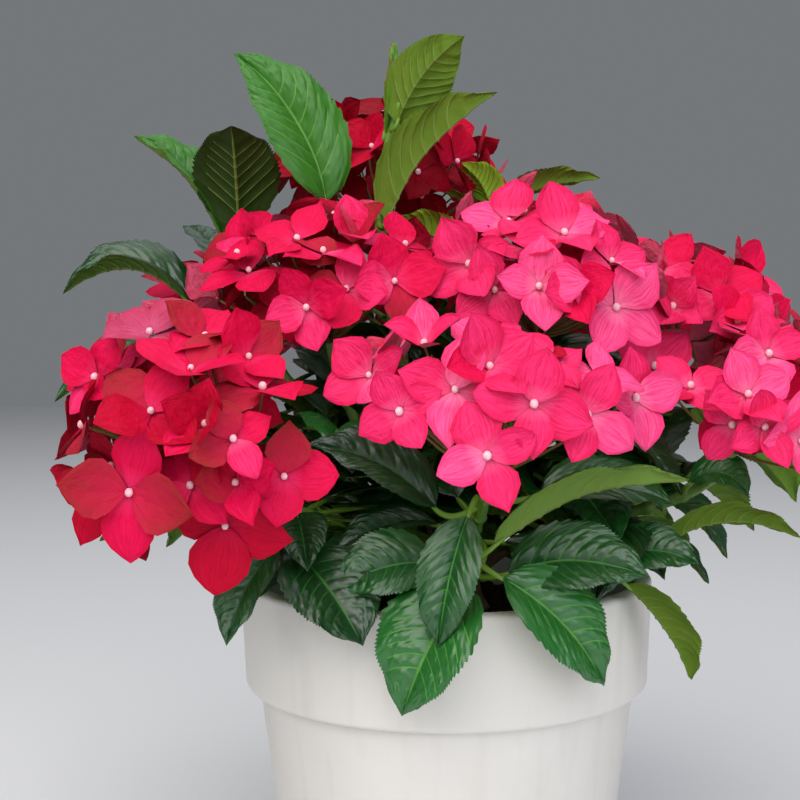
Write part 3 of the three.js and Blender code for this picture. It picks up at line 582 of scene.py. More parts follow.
def taken(points):
    """Whether any of the points lies in the pot, in a head's dome or beyond the plant's reach."""
    across, height = np.hypot(points[:, 0], points[:, 1]), points[:, 2]
    if ((across > REACH) | (height > TOP) | (height < LOW)).any():
        return True
    if ((across < POT_REACH) & (height < POT_TOP)).any():
        return True
    off = points[:, None] - head_at
    far = np.linalg.norm(off, axis=-1)
    dome = np.einsum("ijk,jk->ij", off, head_lean) / far > head_edge
    return bool((far < np.where(dome, head_radius + 0.001, 0.75 * head_radius)).any())


def near(points, others, limit):
    """Whether any point lies closer than limit to any of the others, those outside the points' own
    box left aside."""
    low, high = points.min(0) - limit, points.max(0) + limit
    others = others[((others > low) & (others < high)).all(1)]
    return bool((((points[:, None] - others) ** 2).sum(-1) < limit**2).any())


def fits(leaf, others, room):
    """Whether a leaf keeps to its own space: out of what is taken, and room away from canes and
    from the sample points of other leaves."""
    points = feelers(leaf)
    own = cane_feelers[leaf["cane"]]
    strange = np.concatenate([cane for cane in cane_feelers if cane is not own])
    if taken(points) or near(points[NEAR_FOOT:], own, room):
        return False
    return not near(points, strange, room) and not near(points, others, room)


def series(seed):
    """Seeded numbers from 0 to 1: each state is the last one times 1664525 plus 1013904223, kept
    below 2 to the power of 32."""
    state = seed
    while True:
        state = (state * 1664525 + 1013904223) % 4294967296
        yield state / 4294967296


def placed_leaf(row):
    """A leaf that is set by its own numbers, on its cane."""
    leaf = dict(zip(LEAF_FIELDS, row))
    cane = next(cane for cane in CANES if cane["name"] == leaf["cane"])
    leaf["base"], leaf["tip"] = np.array(leaf["base"]) / 1000, np.array(leaf["tip"]) / 1000
    return leaf | dict(cane=cane["index"], root=bezier(cane["curve"], leaf["at"]))


def paired_leaf(cane, root, turn, rise, length, roll, stalk):
    """A leaf of a pair: its stalk climbs at the rise, and its blade 26 degrees below that."""
    level, up = bearing(turn), np.array([0, 0, 1])
    climb, fall = math.radians(rise), math.radians(rise - 26)
    base = root + (level * math.cos(climb) + up * math.sin(climb)) * stalk
    tip = base + (level * math.cos(fall) + up * math.sin(fall)) * length
    plain = dict(wide=BLADE_WIDE, fold=BLADE_FOLD, arch=BLADE_ARCH)
    return plain | dict(cane=cane["index"], root=root, base=base, tip=tip, roll=roll)


# What is tried in turn: sizes, lifts and swings in degrees.
WIDE_SEARCH = (1, 0.82, 0.66), (0, 14, -14, 28, -28, 42), (0, 18, -18, 36, -36, 54, -54)
SHORT_SEARCH = (1, 0.72), (0, 20, -20, 40), (0, 30, -30)


def grow_pairs(leaves, pairs, seed, top, turned_by, longest, step, stalk, room, search):
    """Adds crossed pairs from the share top of each cane down, each step millimetres longer than
    the one above and the first turned by so many degrees from the cane's phase. A leaf that touches
    something is made smaller, lifted or turned, and left out where none of that helps."""
    others = [feelers(leaf) for leaf in leaves]
    for pair in range(pairs):
        for cane in CANES:
            if pair < cane["placed"] and stalk == PETIOLE:
                continue
            random = series(seed + 91 * cane["index"] + 13 * pair)
            root = bezier(cane["curve"], top - PAIR_STEP * pair)
            for half in (0, 180):
                turn = cane["phase"] + turned_by + 90 * pair + half + 24 * (next(random) - 0.5)
                rise = 34 - 9 * pair + 20 * (next(random) - 0.5)
                length = (longest + step * pair + 14 * (next(random) - 0.5)) / 1000
                roll = 30 * (next(random) - 0.5)
                tries = (
                    paired_leaf(cane, root, turn + swing, rise + lift, size * length, roll, stalk)
                    for size in search[0]
                    for lift in search[1]
                    for swing in search[2]
                )
                kept = np.concatenate(others)
                leaf = next((leaf for leaf in tries if fits(leaf, kept, room)), None)
                if leaf:
                    leaves.append(leaf)
                    others.append(feelers(leaf))
    return leaves


leaves = [placed_leaf(row) for row in PLACED_LEAVES]
leaves = grow_pairs(
    leaves, 5, 7001, top=TOP_PAIR, turned_by=0, longest=78, step=6,
    stalk=PETIOLE, room=LEAF_ROOM, search=WIDE_SEARCH,
)
# Smaller leaves on short twigs fill the room between all those, by the same rule.
leaves += [placed_leaf(row) for row in YOUNG_LEAVES]
leaves = grow_pairs(
    leaves, 5, 9203, top=0.82, turned_by=45, longest=60, step=2,
    stalk=0.018, room=SMALL_LEAF_ROOM, search=SHORT_SEARCH,
)
leaves = grow_pairs(
    leaves, 4, 9803, top=0.78, turned_by=0, longest=48, step=1,
    stalk=0.014, room=SMALL_LEAF_ROOM, search=SHORT_SEARCH,
)
leaves += [placed_leaf(row) for row in LOW_LEAVES]
# Two of these would spring from inside a flower head and two would cover leaves that are set by
# their own numbers, so they aren't grown.
NOT_GROWN = 53, 60, 64, 88
leaves = [leaf for i, leaf in enumerate(leaves) if i not in NOT_GROWN]


def sheet_faces(rows, columns):
    """Triangles of a thin closed blade: an upper and an under grid of points that share their two
    margins, with the first and the last row each drawn to one point. Gives the triangles and the
    row, column and side (0 upper, 1 under) of each."""
    upper = np.arange(rows * columns).reshape(rows, columns)
    upper[0], upper[-1] = upper[0, 0], upper[-1, 0]
    under = upper + rows * columns
    under[:, [0, -1]] = upper[:, [0, -1]]
    under[[0, -1]] = upper[[0, -1]]
    found = []
    for side, ids in enumerate((upper, under)):
        corners = [ids[:-1, :-1], ids[:-1, 1:], ids[1:, 1:], ids[1:, :-1]]
        quads = np.stack(corners, -1).reshape(-1, 4)
        row, column = np.divmod(np.arange(len(quads)), columns - 1)
        for pick in ([0, 1, 2], [0, 2, 3]) if side == 0 else ([0, 2, 1], [0, 3, 2]):
            found.append((quads[:, pick], row, column, np.full(len(quads), side)))
    triangles, row, column, side = (np.concatenate(parts) for parts in zip(*found))
    a, b, c = triangles.T
    real = (a != b) & (b != c) & (a != c)
    return triangles[real], row[real], column[real], side[real]


# Rows of a blade follow its side veins: eight pairs, two rows to a vein and five to the lamina
# between two of them. bulge_at is where a row lies between two veins, and tooth whether the margin
# stands out there.
VEINS = 8
between = np.array([0.045, 1 / 6, 2 / 6, 3 / 6, 4 / 6, 5 / 6, 0.955])
vein_at = 0.03 + 0.73 * (np.arange(VEINS) / (VEINS - 1)) ** 0.95
row_at = np.concatenate([
    [0, 0.015],
    (vein_at[:-1, None] + between * np.diff(vein_at)[:, None]).ravel(),
    [0.79, 0.83, 0.87, 0.91, 0.955, 1],
])
bulge_at = np.concatenate([[0, 0.5], np.tile(between, VEINS - 1), [0.3, 0.5, 0.5, 0.5, 0.3, 0]])
steps = np.tile([1, -1, 1, -1, 1, -1, 1], VEINS - 1)
tooth = np.concatenate([[0, 0], steps, [1, -1, 1, -1, 0.5, 0]])
last_row = np.tile([0, 0, 0, 0, 0, 0, 1], VEINS - 1)
on_vein = np.concatenate([[0, 0], last_row, [0] * 6]).astype(bool)
half_columns = np.array([0.034, 0.13, 0.29, 0.5, 0.7, 0.88, 1.0])
column_at = np.concatenate([-half_columns[::-1], [0], half_columns])
BLADE_COLUMNS = len(column_at)
blade_triangles, face_row, face_column, face_side = sheet_faces(len(row_at), BLADE_COLUMNS)
# How far a tooth reaches forward and out, as shares of the blade's length and half width. The
# heights of the puckers, the sway, the unevenness and the cupped sides, as shares of its length.
TOOTH_AHEAD, TOOTH_OUT = 0.007, 0.03
PUCKER, SWAY, UNEVEN, CUPPED = 0.0125, 0.02, 0.005, 0.03
# In metres: how deep the midrib lies above, the blade's thickness, and how proud its side veins and
# its midrib stand below.
MIDRIB_DEEP, BLADE_THICK, VEIN_PROUD, MIDRIB_PROUD = 0.0005, 0.0003, 0.0004, 0.0008


def blade_outline(u):
    """Half width of a finished blade: fuller sides than the plain rule's, drawn in at the last
    tenth to a drip tip."""
    widest = 0.42
    full = (u / widest) ** 0.68 * ((1 - u) / (1 - widest)) ** (0.68 * (1 - widest) / widest)
    return full * (1 - 0.4 * np.exp(-(((1 - u) / 0.08) ** 2)))


def blade_shape(leaf, number, colours):
    """A quilted blade: each row sweeps forward towards the margin as its vein does, the lamina
    rises between two veins by the sine of its place there, the margin steps in and out with the
    teeth and sways a little, and the under side lies below it with its veins proud. colours are
    those of the skin, the veins, the under side, its veins and the margin."""
    random = np.random.default_rng(4000 + number)
    length = np.linalg.norm(leaf["tip"] - leaf["base"])
    r, v = row_at[:, None], column_at[None, :]
    sweep = 0.46 * np.abs(v) ** 1.25 * (1 - np.exp(-r / 0.12)) * (1 - r)
    teeth = tooth[:, None] * (np.abs(v) == 1)
    u = np.clip(r + sweep + TOOTH_AHEAD * teeth * (r < 0.99), 0, 1)
    out = (v * (1 + TOOTH_OUT * teeth)).ravel()
    place, upper = blade_points(leaf, u.ravel(), out, blade_outline)
    puff = np.sin(np.pi * bulge_at[:, None]) ** 0.55
    block = np.floor(np.interp(r, vein_at, np.arange(VEINS)))
    checker = np.cos(np.pi * (np.arange(BLADE_COLUMNS) + block)) * (np.abs(v) > 0.2)
    puff = puff * (1 + 0.28 * checker)
    open_part = (1 - np.exp(-np.abs(v) / 0.1)) * (1 - 0.7 * np.abs(v) ** 3)
    phase = random.uniform(0, 2 * np.pi, 4)
    sway = np.sin(2 * np.pi * 2.3 * r + phase[0] + 1.2 * np.sign(v)) * v**2 * np.sin(np.pi * r)
    uneven = np.sin(11 * r + phase[1]) * np.sin(5 * v + phase[2])
    rise = length * (PUCKER * puff * open_part + SWAY * sway + UNEVEN * uneven)
    rise -= MIDRIB_DEEP * np.exp(-((v / 0.06) ** 2))
    rise += length * CUPPED * np.sin(np.pi * np.clip(np.abs(v), 0, 1)) * blade_outline(u)
    shown = place + upper * rise.ravel()[:, None]
    vein_rows = on_vein | np.roll(on_vein, 1)
    proud = BLADE_THICK + VEIN_PROUD * vein_rows[:, None] * (np.abs(v) < 0.9)
    proud = proud + MIDRIB_PROUD * np.exp(-((v / 0.05) ** 2)) * (1 - 0.7 * r)
    hidden = shown - upper * proud.ravel()[:, None]
    within = (np.abs(column_at[face_column] + 0.02) < 0.86) & (row_at[face_row] < 0.7)
    midrib = np.isin(face_column, [BLADE_COLUMNS // 2 - 1, BLADE_COLUMNS // 2])
    ribbed = on_vein[face_row] & within | midrib
    edge = np.isin(face_column, [0, BLADE_COLUMNS - 2])
    skin, vein, under, vein_below, margin = colours
    above = np.where(ribbed, vein, np.where(edge, margin, skin))
    which = np.where(face_side == 0, above, np.where(ribbed, vein_below, under))
    width = 0.5 * leaf["wide"] * length
    uv = np.stack([r * length + 0 * v, v * width + 0 * r], -1).reshape(-1, 2)
    uv = np.concatenate([uv, uv]) + random.uniform(0, 1, 2)
    return shape_of(np.concatenate([shown, hidden]), blade_triangles, which, uv, face_side)


STALK_ROWS, STALK_AROUND, STALK_BELOW = 12, 8, 0.0008
stalk_triangles = round_faces(STALK_ROWS, STALK_AROUND)[0]


def stalk_shape(leaf, colour):
    """The stalk: a round section along the leaf's own curve, from inside the cane to just under the
    blade's base, thinning a little."""
    u = np.concatenate([[-1], np.linspace(-0.999, 0.055, STALK_ROWS - 2), [0.06]])
    point, side, upper = leaf_frame(leaf, u)
    radius = np.interp(u, [-1, -0.9, -0.1, 0.06], [0.0020, 0.0015, 0.0013, 0.0007])
    radius[[0, -1]] = 0
    angle = np.linspace(0, 2 * np.pi, STALK_AROUND, endpoint=False)[:, None]
    ring = np.cos(angle) * side[:, None] + np.sin(angle) * upper[:, None]
    centre = point - upper * STALK_BELOW
    return shape_of(centre[:, None] + radius[:, None, None] * ring, stalk_triangles, colour)


def leaf_material(name, colour, shade, roughness, gloss, net):
    """Leaf skin: an even base colour broken softly by a second one, and a fine net of the smallest
    veins, in cells of about 3 mm, as relief. It reads the blade's own map in metres."""
    material = new_material(name, colour, Roughness=roughness, Specular_IOR_Level=gloss)
    place = add_node(material, "UVMap", {"uv_map": "UVMap"})
    mottled(material, place, 70.0, 3.0, colour, shade)
    cells = add_node(material, "TexVoronoi", {"feature": "SMOOTH_F1", "Scale": 300.0}, Vector=place)
    limits = {"From Min": 0.0, "From Max": 0.7, "To Min": 1.0, "To Max": 0.0}
    height = add_node(material, "MapRange", limits, Value=cells)
    add_node(material, "Bump", {"Strength": net, "Distance": 0.0009}, "Normal", Height=height)
    return material


# Leaf skin above is waxed and glossy, from blue-green on old leaves to yellow-green on young ones.
# Below it is matt and paler. Veins are light and smooth. Each leaf has one of these colours. The
# shade tone is painted shade, for a leaf that hangs in shadow. The lit tone is painted light, for
# young leaves with light shining through them. The deep tone, on all the small leaves and on the
# low ones inside the plant, is painted shade there.
LEAF_COLOURS = {
    "deep": ("#083e10", "#06300b", "#3c7a2c", "#3e6018"),
    "dark": ("#0c5218", "#094210", "#4c8e36", "#486c1e"),
    "middle": ("#1c6a22", "#155a1a", "#64a440", "#5a7c26"),
    "bright": ("#38741e", "#2e6a1a", "#629440", "#648a2a"),
    "young": ("#639c1e", "#568f1a", "#8cb440", "#749428"),
    "olive": ("#486a12", "#3c5e0e", "#5f7c22", "#5e721c"),
    "pale": ("#5c8034", "#50742c", "#7a9648", "#6a8434"),
    # Painted shade, for a leaf in shadow.
    "shade": ("#1d3304", "#182b04", "#2d440c", "#2c400c"),
    # Painted light: young leaves with light shining through them.
    "lit": ("#86c22c", "#78b424", "#a8d050", "#8cc034"),
}
leaf_materials = []
leaf_colours = {}
for name, (skin, shade, vein, under) in LEAF_COLOURS.items():
    dull = name in ("olive", "pale", "shade")
    roughness, gloss = 0.5 if dull else 0.37, 0.35 if dull or name == "bright" else 0.8
    start = len(leaf_materials)
    leaf_materials += [
        leaf_material(f"leaf_{name}", skin, shade, roughness, gloss, 0.6),
        leaf_material(f"vein_{name}", vein, skin, 0.5, 0.4, 0.05),
        leaf_material(f"underside_{name}", under, skin if dull else under, 0.7, 0.2, 0.4),
    ]
    leaf_colours[name] = (start, start + 1, start + 2)
vein_under, bronze_edge, stalk_green = range(len(leaf_materials), len(leaf_materials) + 3)
leaf_materials += [
    leaf_material("vein_under", "#6a8034", "#587028", 0.6, 0.3, 0.05),
    leaf_material("bronze_edge", "#7c6a24", "#6f7a2a", 0.55, 0.35, 0.1),
    leaf_material("leaf_stalk", "#6a9226", "#588020", 0.45, 0.45, 0.05),
]

LEAF_PIECES = 4
leaf_shapes = [[] for _ in range(LEAF_PIECES)]
tone_random = np.random.default_rng(77)
for number, leaf in enumerate(leaves):
    rule_tone = tone_random.choice(["deep", "deep", "dark", "dark", "middle", "bright"])
    # Leaves shorter than 65 mm grow inside the plant and all take the deep tone: painted shade of
    # the plant's inside.
    rule_tone = rule_tone if np.linalg.norm(leaf["tip"] - leaf["base"]) > 0.065 else "deep"
    tone = leaf.get("tone", rule_tone)
    skin, vein, under = leaf_colours[tone]
    edge = bronze_edge if tone in ("olive", "young") else skin
    group = leaf_shapes[number * LEAF_PIECES // len(leaves)]
    group.append(blade_shape(leaf, number, (skin, vein, under, vein_under, edge)))
    group.append(stalk_shape(leaf, stalk_green))

# A leafless tip bud closes each shoot that has no flower head.
BUD_LENGTH, BUD_RADIUS, BUD_SUNK, BUD_ROWS, BUD_AROUND = 0.012, 0.0032, 0.001, 10, 10
for cane in CANES:
    if cane["radius"]:
        continue
    share = np.linspace(0, 1, BUD_ROWS)
    tip, way = cane["curve"][3], bezier_way(cane["curve"], 1.0)
    path = tip + way * (BUD_LENGTH * share[:, None] - BUD_SUNK)
    radius = BUD_RADIUS * np.sin(np.pi * share**0.8) ** 0.9
    radius[[0, -1]] = 0
    bud = carried(path, radius, np.array([0.6, 0.8, 0.01]), BUD_AROUND)
    leaf_shapes[0].append(shape_of(bud, round_faces(BUD_ROWS, BUD_AROUND)[0], stalk_green))

foliage = [f"foliage_{cane['name']}" for cane in CANES]
for number, shapes in enumerate(leaf_shapes):
    nodes = foliage[number::LEAF_PIECES]
    make_piece(f"leaves_{number + 1}", shapes, leaf_materials, "leaf", *nodes)

# The flower heads
# Ten rounded heads, each a dome of showy florets on thin branched stalks. A floret is four broad
# sepals, an inner pair over an outer one, round a bead-like bud: flat on some, a cup on others.

# Florets set one by one on the side that faces front: place in millimetres, how far the floret
# faces to the right and up (what is left faces the front), the direction of one sepal in degrees as
# seen from the front, the size in millimetres, and how far the sepals are raised, from 0 for flat
# to 1 for a cup.
PLACED_FLORETS = {}
PLACED_FLORETS["left_front"] = [
    (-115, -137, 268, 0.05, 0.62, 144, 54, 0.4),
    (-123, -140, 238, -0.05, 0, 81, 58, 0.15),
    (-87, -133, 224, 0.05, -0.1, -18, 54, 0.1),
    (-99, -138, 240, -0.2, 0.2, -45, 44, 0.3),
    (-92, -141, 264, -0.3, 0.3, 63, 46, 0.9),
    (-81, -149, 259, 0.1, 0.3, 27, 38, 0.3),
    (-82, -139, 241, 0.1, 0.3, 107, 44, 0.7),
    (-64, -132, 243, 0.25, 0.1, -7, 44, 0.25),
    (-138, -101, 283, -0.5, 0.6, 22, 44, 0.3),
    (-100, -134, 284, 0.15, 0.88, 41, 52, 0.45),
    (-72, -132, 276, 0.1, 0.92, 7, 54, 0.2),
    (-80, -118, 289, 0.45, 0.5, 45, 46, 0.5),
    (-142, -110, 281, -0.5, 0.3, 59, 42, 0.5),
    (-98, -111, 296, 0.1, 0.9, 51, 48, 0.45),
    (-121, -106, 298, -0.2, 0.8, 159, 46, 0.4),
]
PLACED_FLORETS["middle_left"] = [
    (-43, -62, 317, 0, 0.45, -11, 45, 0.2),
    (-60, -68, 310, -0.1, 0, -65, 43, 0.3),
    (-88, -47, 325, -0.15, 0.85, 15, 50, 0.1),
    (-95, -36, 333, -0.1, 0.93, 12, 42, 0.15),
    (-94, -17, 337, -0.65, 0.35, 85, 46, 0.4),
    (-66, -50, 339, 0, 0.75, 159, 48, 0.2),
    (-86, -15, 343, -0.3, 0.85, 22, 40, 0.3),
    (-54, -57, 333, 0.1, 0.92, 17, 46, 0.1),
    (-41, -44, 339, 0.1, 0.8, 121, 48, 1),
    (-23, -55, 321, 0.35, 0.2, -74, 50, 0.35),
    (-19, -28, 337, 0.35, 0.85, -9, 46, 0.2),
]
PLACED_FLORETS["upper_right"] = [
    (12, -55, 328, -0.35, 0.3, -152, 50, 0.4),
    (22, -62, 317, 0.05, 0.1, -146, 44, 0.2),
    (41, -70, 318, 0, 0.2, -93, 46, 0.35),
    (57, -66, 315, -0.1, 0.25, -66, 44, 0.8),
    (74, -64, 309, 0.35, 0.1, -37, 52, 0.3),
    (30, -38, 347, -0.2, 0.7, -6, 48, 0.2),
    (53, -54, 341, 0.1, 0.6, 17, 50, 0.25),
    (36, -56, 335, 0, 0.8, 22, 44, 0.3),
    (73, -57, 328, 0.4, 0.75, 8, 44, 0.5),
]
PLACED_FLORETS["right"] = [
    (105, -2, 327, -0.1, 0.55, 39, 46, 0.2),
    (106, -24, 309, 0, 0.3, -42, 40, 0.6),
    (129, -17, 314, 0, 0.5, 25, 48, 0.35),
    (135, -24, 302, 0.3, 0.3, 30, 44, 0.5),
]
PLACED_FLORETS["right_front"] = [
    (97, -30, 281, 0, 0.5, 39, 46, 0.2),
    (106, -74, 273, 0.05, 0.88, 15, 44, 0.2),
    (140, -69, 288, 0.1, 0.35, 105, 44, 0.3),
    (128, -84, 271, 0.1, 0.45, 22, 48, 0.5),
    (122, -82, 259, 0, 0.05, -130, 41, 0.1),
    (134, -88, 258, 0.2, 0.2, 27, 42, 0.4),
    (150, -84, 252, 0.3, 0.1, -86, 42, 0.3),
]
PLACED_FLORETS["front"] = [
    (-17, -139, 269, -0.2, 0.1, -147, 40, 0.3),
    (4, -138, 277, 0, 0.25, 164, 50, 0.2),
    (17, -135, 285, 0.2, 0.55, 25, 46, 0.6),
    (16, -152, 253, 0, 0.1, -73, 44, 0.12),
    (34, -146, 272, 0, 0.15, -11, 47, 0.2),
    (55, -134, 267, 0.2, 0.15, -32, 46, 0.25),
    (78, -96, 271, 0.5, 0.2, -82, 44, 0.3),
    (-30, -102, 281, -0.5, 0.3, -141, 42, 0.4),
    (-8, -111, 293, -0.1, 0.75, 86, 42, 0.7),
    (40, -119, 285, 0.1, 0.85, 11, 41, 0.15),
    (63, -113, 279, 0.3, 0.8, -8, 41, 0.15),
    (17, -110, 291, 0.05, 0.85, 22, 42, 0.35),
]
# Places in millimetres that are kept open.
OPEN_PLACES = dict(
    left_front=[(-84, -75, 302), (-58, -100, 288), (-119, -132, 215), (-127, -105, 214),
        (-58, -99, 263), (-69, -64, 279)],
    middle_left=[(-14, -40, 316)],
    upper_right=[(10, -44, 306), (40, -55, 302), (62, -50, 300)],
    right=[(108, -28, 290)],
    right_front=[(108, -48, 298)],
    front=[(28, -70, 294), (50, -70, 290), (72, -72, 282), (4, -76, 292), (-40, -106, 246),
        (40, -130, 234), (66, -96, 291), (0, -134, 256)],
)
FLORET_LEAST, FLORET_MOST = 0.040, 0.049
# The room that a ruled floret leaves round a placed one, an inner one round it, and any round an
# open place.
FLORET_ROOM, INNER_ROOM, OPEN_ROOM = 0.018, 0.006, 0.025
# How far in the inner florets of a head sit, and their size and cup, as shares of the outer ones'.
INNER_REACH, INNER_SIZE, INNER_CUP = 0.78, 0.82, 0.5
GOLDEN_ANGLE = 137.508
# In metres: how far florets stay inside a head's radius and how much deeper every second one sits.
HEAD_INSET, HEAD_STAGGER = 0.006, 0.0035


def placed_florets(cane):
    """The florets of a head that are set by their own numbers, and its open places as florets of
    size 0. first is the way of one sepal: its part as seen from the front is given, and the rest
    makes it square to the way the floret faces."""
    rows = list(PLACED_FLORETS.get(cane["name"], []))
    rows += [(*place, 0, 0, 0, 0, 0) for place in OPEN_PLACES.get(cane["name"], [])]
    rows = np.array(rows, float).reshape(-1, 8)
    right, up, turn = rows[:, 3], rows[:, 4], np.radians(rows[:, 5])
    front = np.sqrt(1 - right**2 - up**2)
    deep = (np.cos(turn) * right + np.sin(turn) * up) / front
    return dict(
        place=rows[:, :3] / 1000,
        face=np.stack([right, -front, up], -1),
        first=unit(np.stack([np.cos(turn), deep, np.sin(turn)], -1)),
        size=rows[:, 6] / 1000,
        cup=rows[:, 7],
        head=np.full(len(rows), cane["index"]),
        inner=np.zeros(len(rows), bool),
    )


def ruled_florets(cane, seed, count, inner, kept):
    """The other florets of a head: even turns of the golden angle over a dome, alternately high and
    low, with seeded scatter, away from those that are kept. Inner ones sit further in."""
    random = np.random.default_rng(seed)
    axis = cane["lean"]
    side = unit(np.array([axis[2], 0, -axis[0]]))
    third = np.cross(axis, side)
    # A head with no floret of its own numbers has inner ones that reach lower.
    lower = 14 if inner and not len(kept["size"]) else 0
    lowest = math.cos(math.radians(cane["spread"] + lower))
    k = np.arange(count)
    cosine = 1 - (k + 0.4) / count * (1 - lowest)
    sine = np.sqrt(1 - cosine**2)
    turn = np.radians(k * GOLDEN_ANGLE) + 0.25 * random.uniform(-0.5, 0.5, count)
    out = (
        cosine[:, None] * axis
        + (sine * np.cos(turn))[:, None] * side
        + (sine * np.sin(turn))[:, None] * third
    )
    reach = cane["radius"] - HEAD_INSET + np.where(k % 2, -0.5, 0.5) * HEAD_STAGGER
    reach = (INNER_REACH if inner else 1) * (reach + random.uniform(-0.0025, 0.0015, count))
    sunk = (reach * cosine * (cane["flat"] - 1))[:, None]
    place = cane["at"] + out * reach[:, None] + axis * sunk
    face = unit(out + 0.9 * random.uniform(-0.5, 0.5, (count, 3)))
    level = unit(np.stack([face[:, 2], np.full(count, 0.01), -face[:, 0]], -1))
    level = unit(level - face * (face * level).sum(-1, keepdims=True))
    spin = np.radians(90 * random.random(count))[:, None]
    size = FLORET_LEAST + (FLORET_MOST - FLORET_LEAST) * random.random(count)
    florets = dict(
        place=place,
        face=face,
        first=level * np.cos(spin) + np.cross(face, level) * np.sin(spin),
        size=(INNER_SIZE if inner else 1) * size,
        cup=(INNER_CUP if inner else 1) * random.beta(1.3, 2.6, count),
        head=np.full(count, cane["index"]),
        inner=np.full(count, inner),
    )
    room = np.where(kept["size"] > 0, INNER_ROOM if inner else FLORET_ROOM, OPEN_ROOM)
    free = (np.linalg.norm(place[:, None] - kept["place"], axis=-1) > room).all(1)
    return {key: values[free] for key, values in florets.items()}


# A dome's area is 2 pi times its radius squared times 1 less the cosine of its spread, and it has
# one floret for each 16.5 square centimetres. More are tried, 1.7 times as many outer and 0.8 times
# as many inner ones, since those near a placed floret are left out.
groups = []
for cane in HEADS:
    dome = (1 - math.cos(math.radians(cane["spread"]))) * (cane["radius"] * 1000 / 14.5) ** 2
    count, seed = round(dome * 0.8), 37 * cane["index"]
    own = placed_florets(cane)
    groups.append({key: values[own["size"] > 0] for key, values in own.items()})
    groups.append(ruled_florets(cane, 101 + seed, round(1.7 * count), False, own))
    groups.append(ruled_florets(cane, 907 + seed, round(0.8 * count), True, own))
florets = {key: np.concatenate([group[key] for group in groups]) for key in groups[0]}
floret_count = len(florets["size"])
face, first = florets["face"], florets["first"]
second = np.cross(face, first)

SEPAL_ROWS, SEPAL_COLUMNS, SEPAL_THICK = 8, 5, 0.00032
sepal_triangles, _, _, sepal_side = sheet_faces(SEPAL_ROWS, SEPAL_COLUMNS)
sepal_random = np.random.default_rng(55)


def scatter(least, most):
    """An even random number for each sepal, shaped to spread over its grid."""
    return sepal_random.uniform(least, most, (floret_count, 4, 1, 1))


quarter = np.arange(4)
turn = np.pi / 2 * quarter + sepal_random.normal(0, 0.09, (floret_count, 4))
outward = np.cos(turn)[..., None] * first[:, None] + np.sin(turn)[..., None] * second[:, None]
sideways = np.cross(face[:, None], outward)
s = np.array([0, 0.1, 0.25, 0.43, 0.62, 0.79, 0.92, 1.0])[:, None]
w = np.linspace(-1, 1, SEPAL_COLUMNS)[None, :]
# Half width of a sepal over its length: narrow at the claw, widest just past the middle, and drawn
# in by taper to a round or a pointed tip.
widest, taper = 0.5, scatter(0.85, 1.5)
outline = (s / widest) ** (taper * widest / (1 - widest)) * ((1 - s) / (1 - widest)) ** taper
long = 0.5 * florets["size"][:, None, None, None] * scatter(0.9, 1.06)
half = long * scatter(0.37, 0.48) * outline
# The middle line is an arc: it leaves the claw at the angle rise and bends evenly by bend over its
# length. Its place along the floret's plane is the difference of two sines over the bend, and its
# height over the plane that of two cosines.
cup = florets["cup"][:, None, None, None]
rise = 1.05 * cup + np.where(quarter % 2, 0.1, -0.08)[None, :, None, None] + scatter(-0.12, 0.12)
bend = scatter(-0.55, 0.3) - 0.2 * cup
bend = np.where(np.abs(bend) < 1e-3, 1e-3, bend)
along = long * (np.sin(rise + bend * s) - np.sin(rise)) / bend
height = long * (np.cos(rise) - np.cos(rise + bend * s)) / bend
# Across it the two halves fold up from a crease and flatten again, the blade turns a little about
# its middle line, and its margin waves.
fold = scatter(-0.06, 0.36) + 0.2 * cup
turned_by = scatter(-0.24, 0.24) * (0.3 + 0.7 * s)
lift = half * np.sin(fold) * np.abs(w) * (1.5 - 0.7 * np.abs(w))
lift = lift + long * 0.035 * np.sin(6 * s + 2.5 * w + scatter(0, 6.28)) * w**2 * s
aside = half * w * np.cos(fold)
aside, lift = (
    aside * np.cos(turned_by) - lift * np.sin(turned_by),
    aside * np.sin(turned_by) + lift * np.cos(turned_by),
)
steep = rise + bend * s
along = along - lift * np.sin(steep)
height = height + lift * np.cos(steep) + np.where(quarter % 2, 0.0011, 0.0002)[None, :, None, None]
sepals = (
    florets["place"][:, None, None, None]
    + outward[:, :, None, None] * along[..., None]
    + sideways[:, :, None, None] * aside[..., None]
    + face[:, None, None, None] * height[..., None]
)
behind = np.cos(steep)[..., None] * face[:, None, None, None]
behind = behind - np.sin(steep)[..., None] * outward[:, :, None, None]
backs = sepals - SEPAL_THICK * behind


# The map of a sepal: metres from its claw, and across it the share of its width times the first of
# these, with one sepal after the other set off by the second.
SEPAL_ACROSS, SEPAL_STEP = 0.011, 0.03


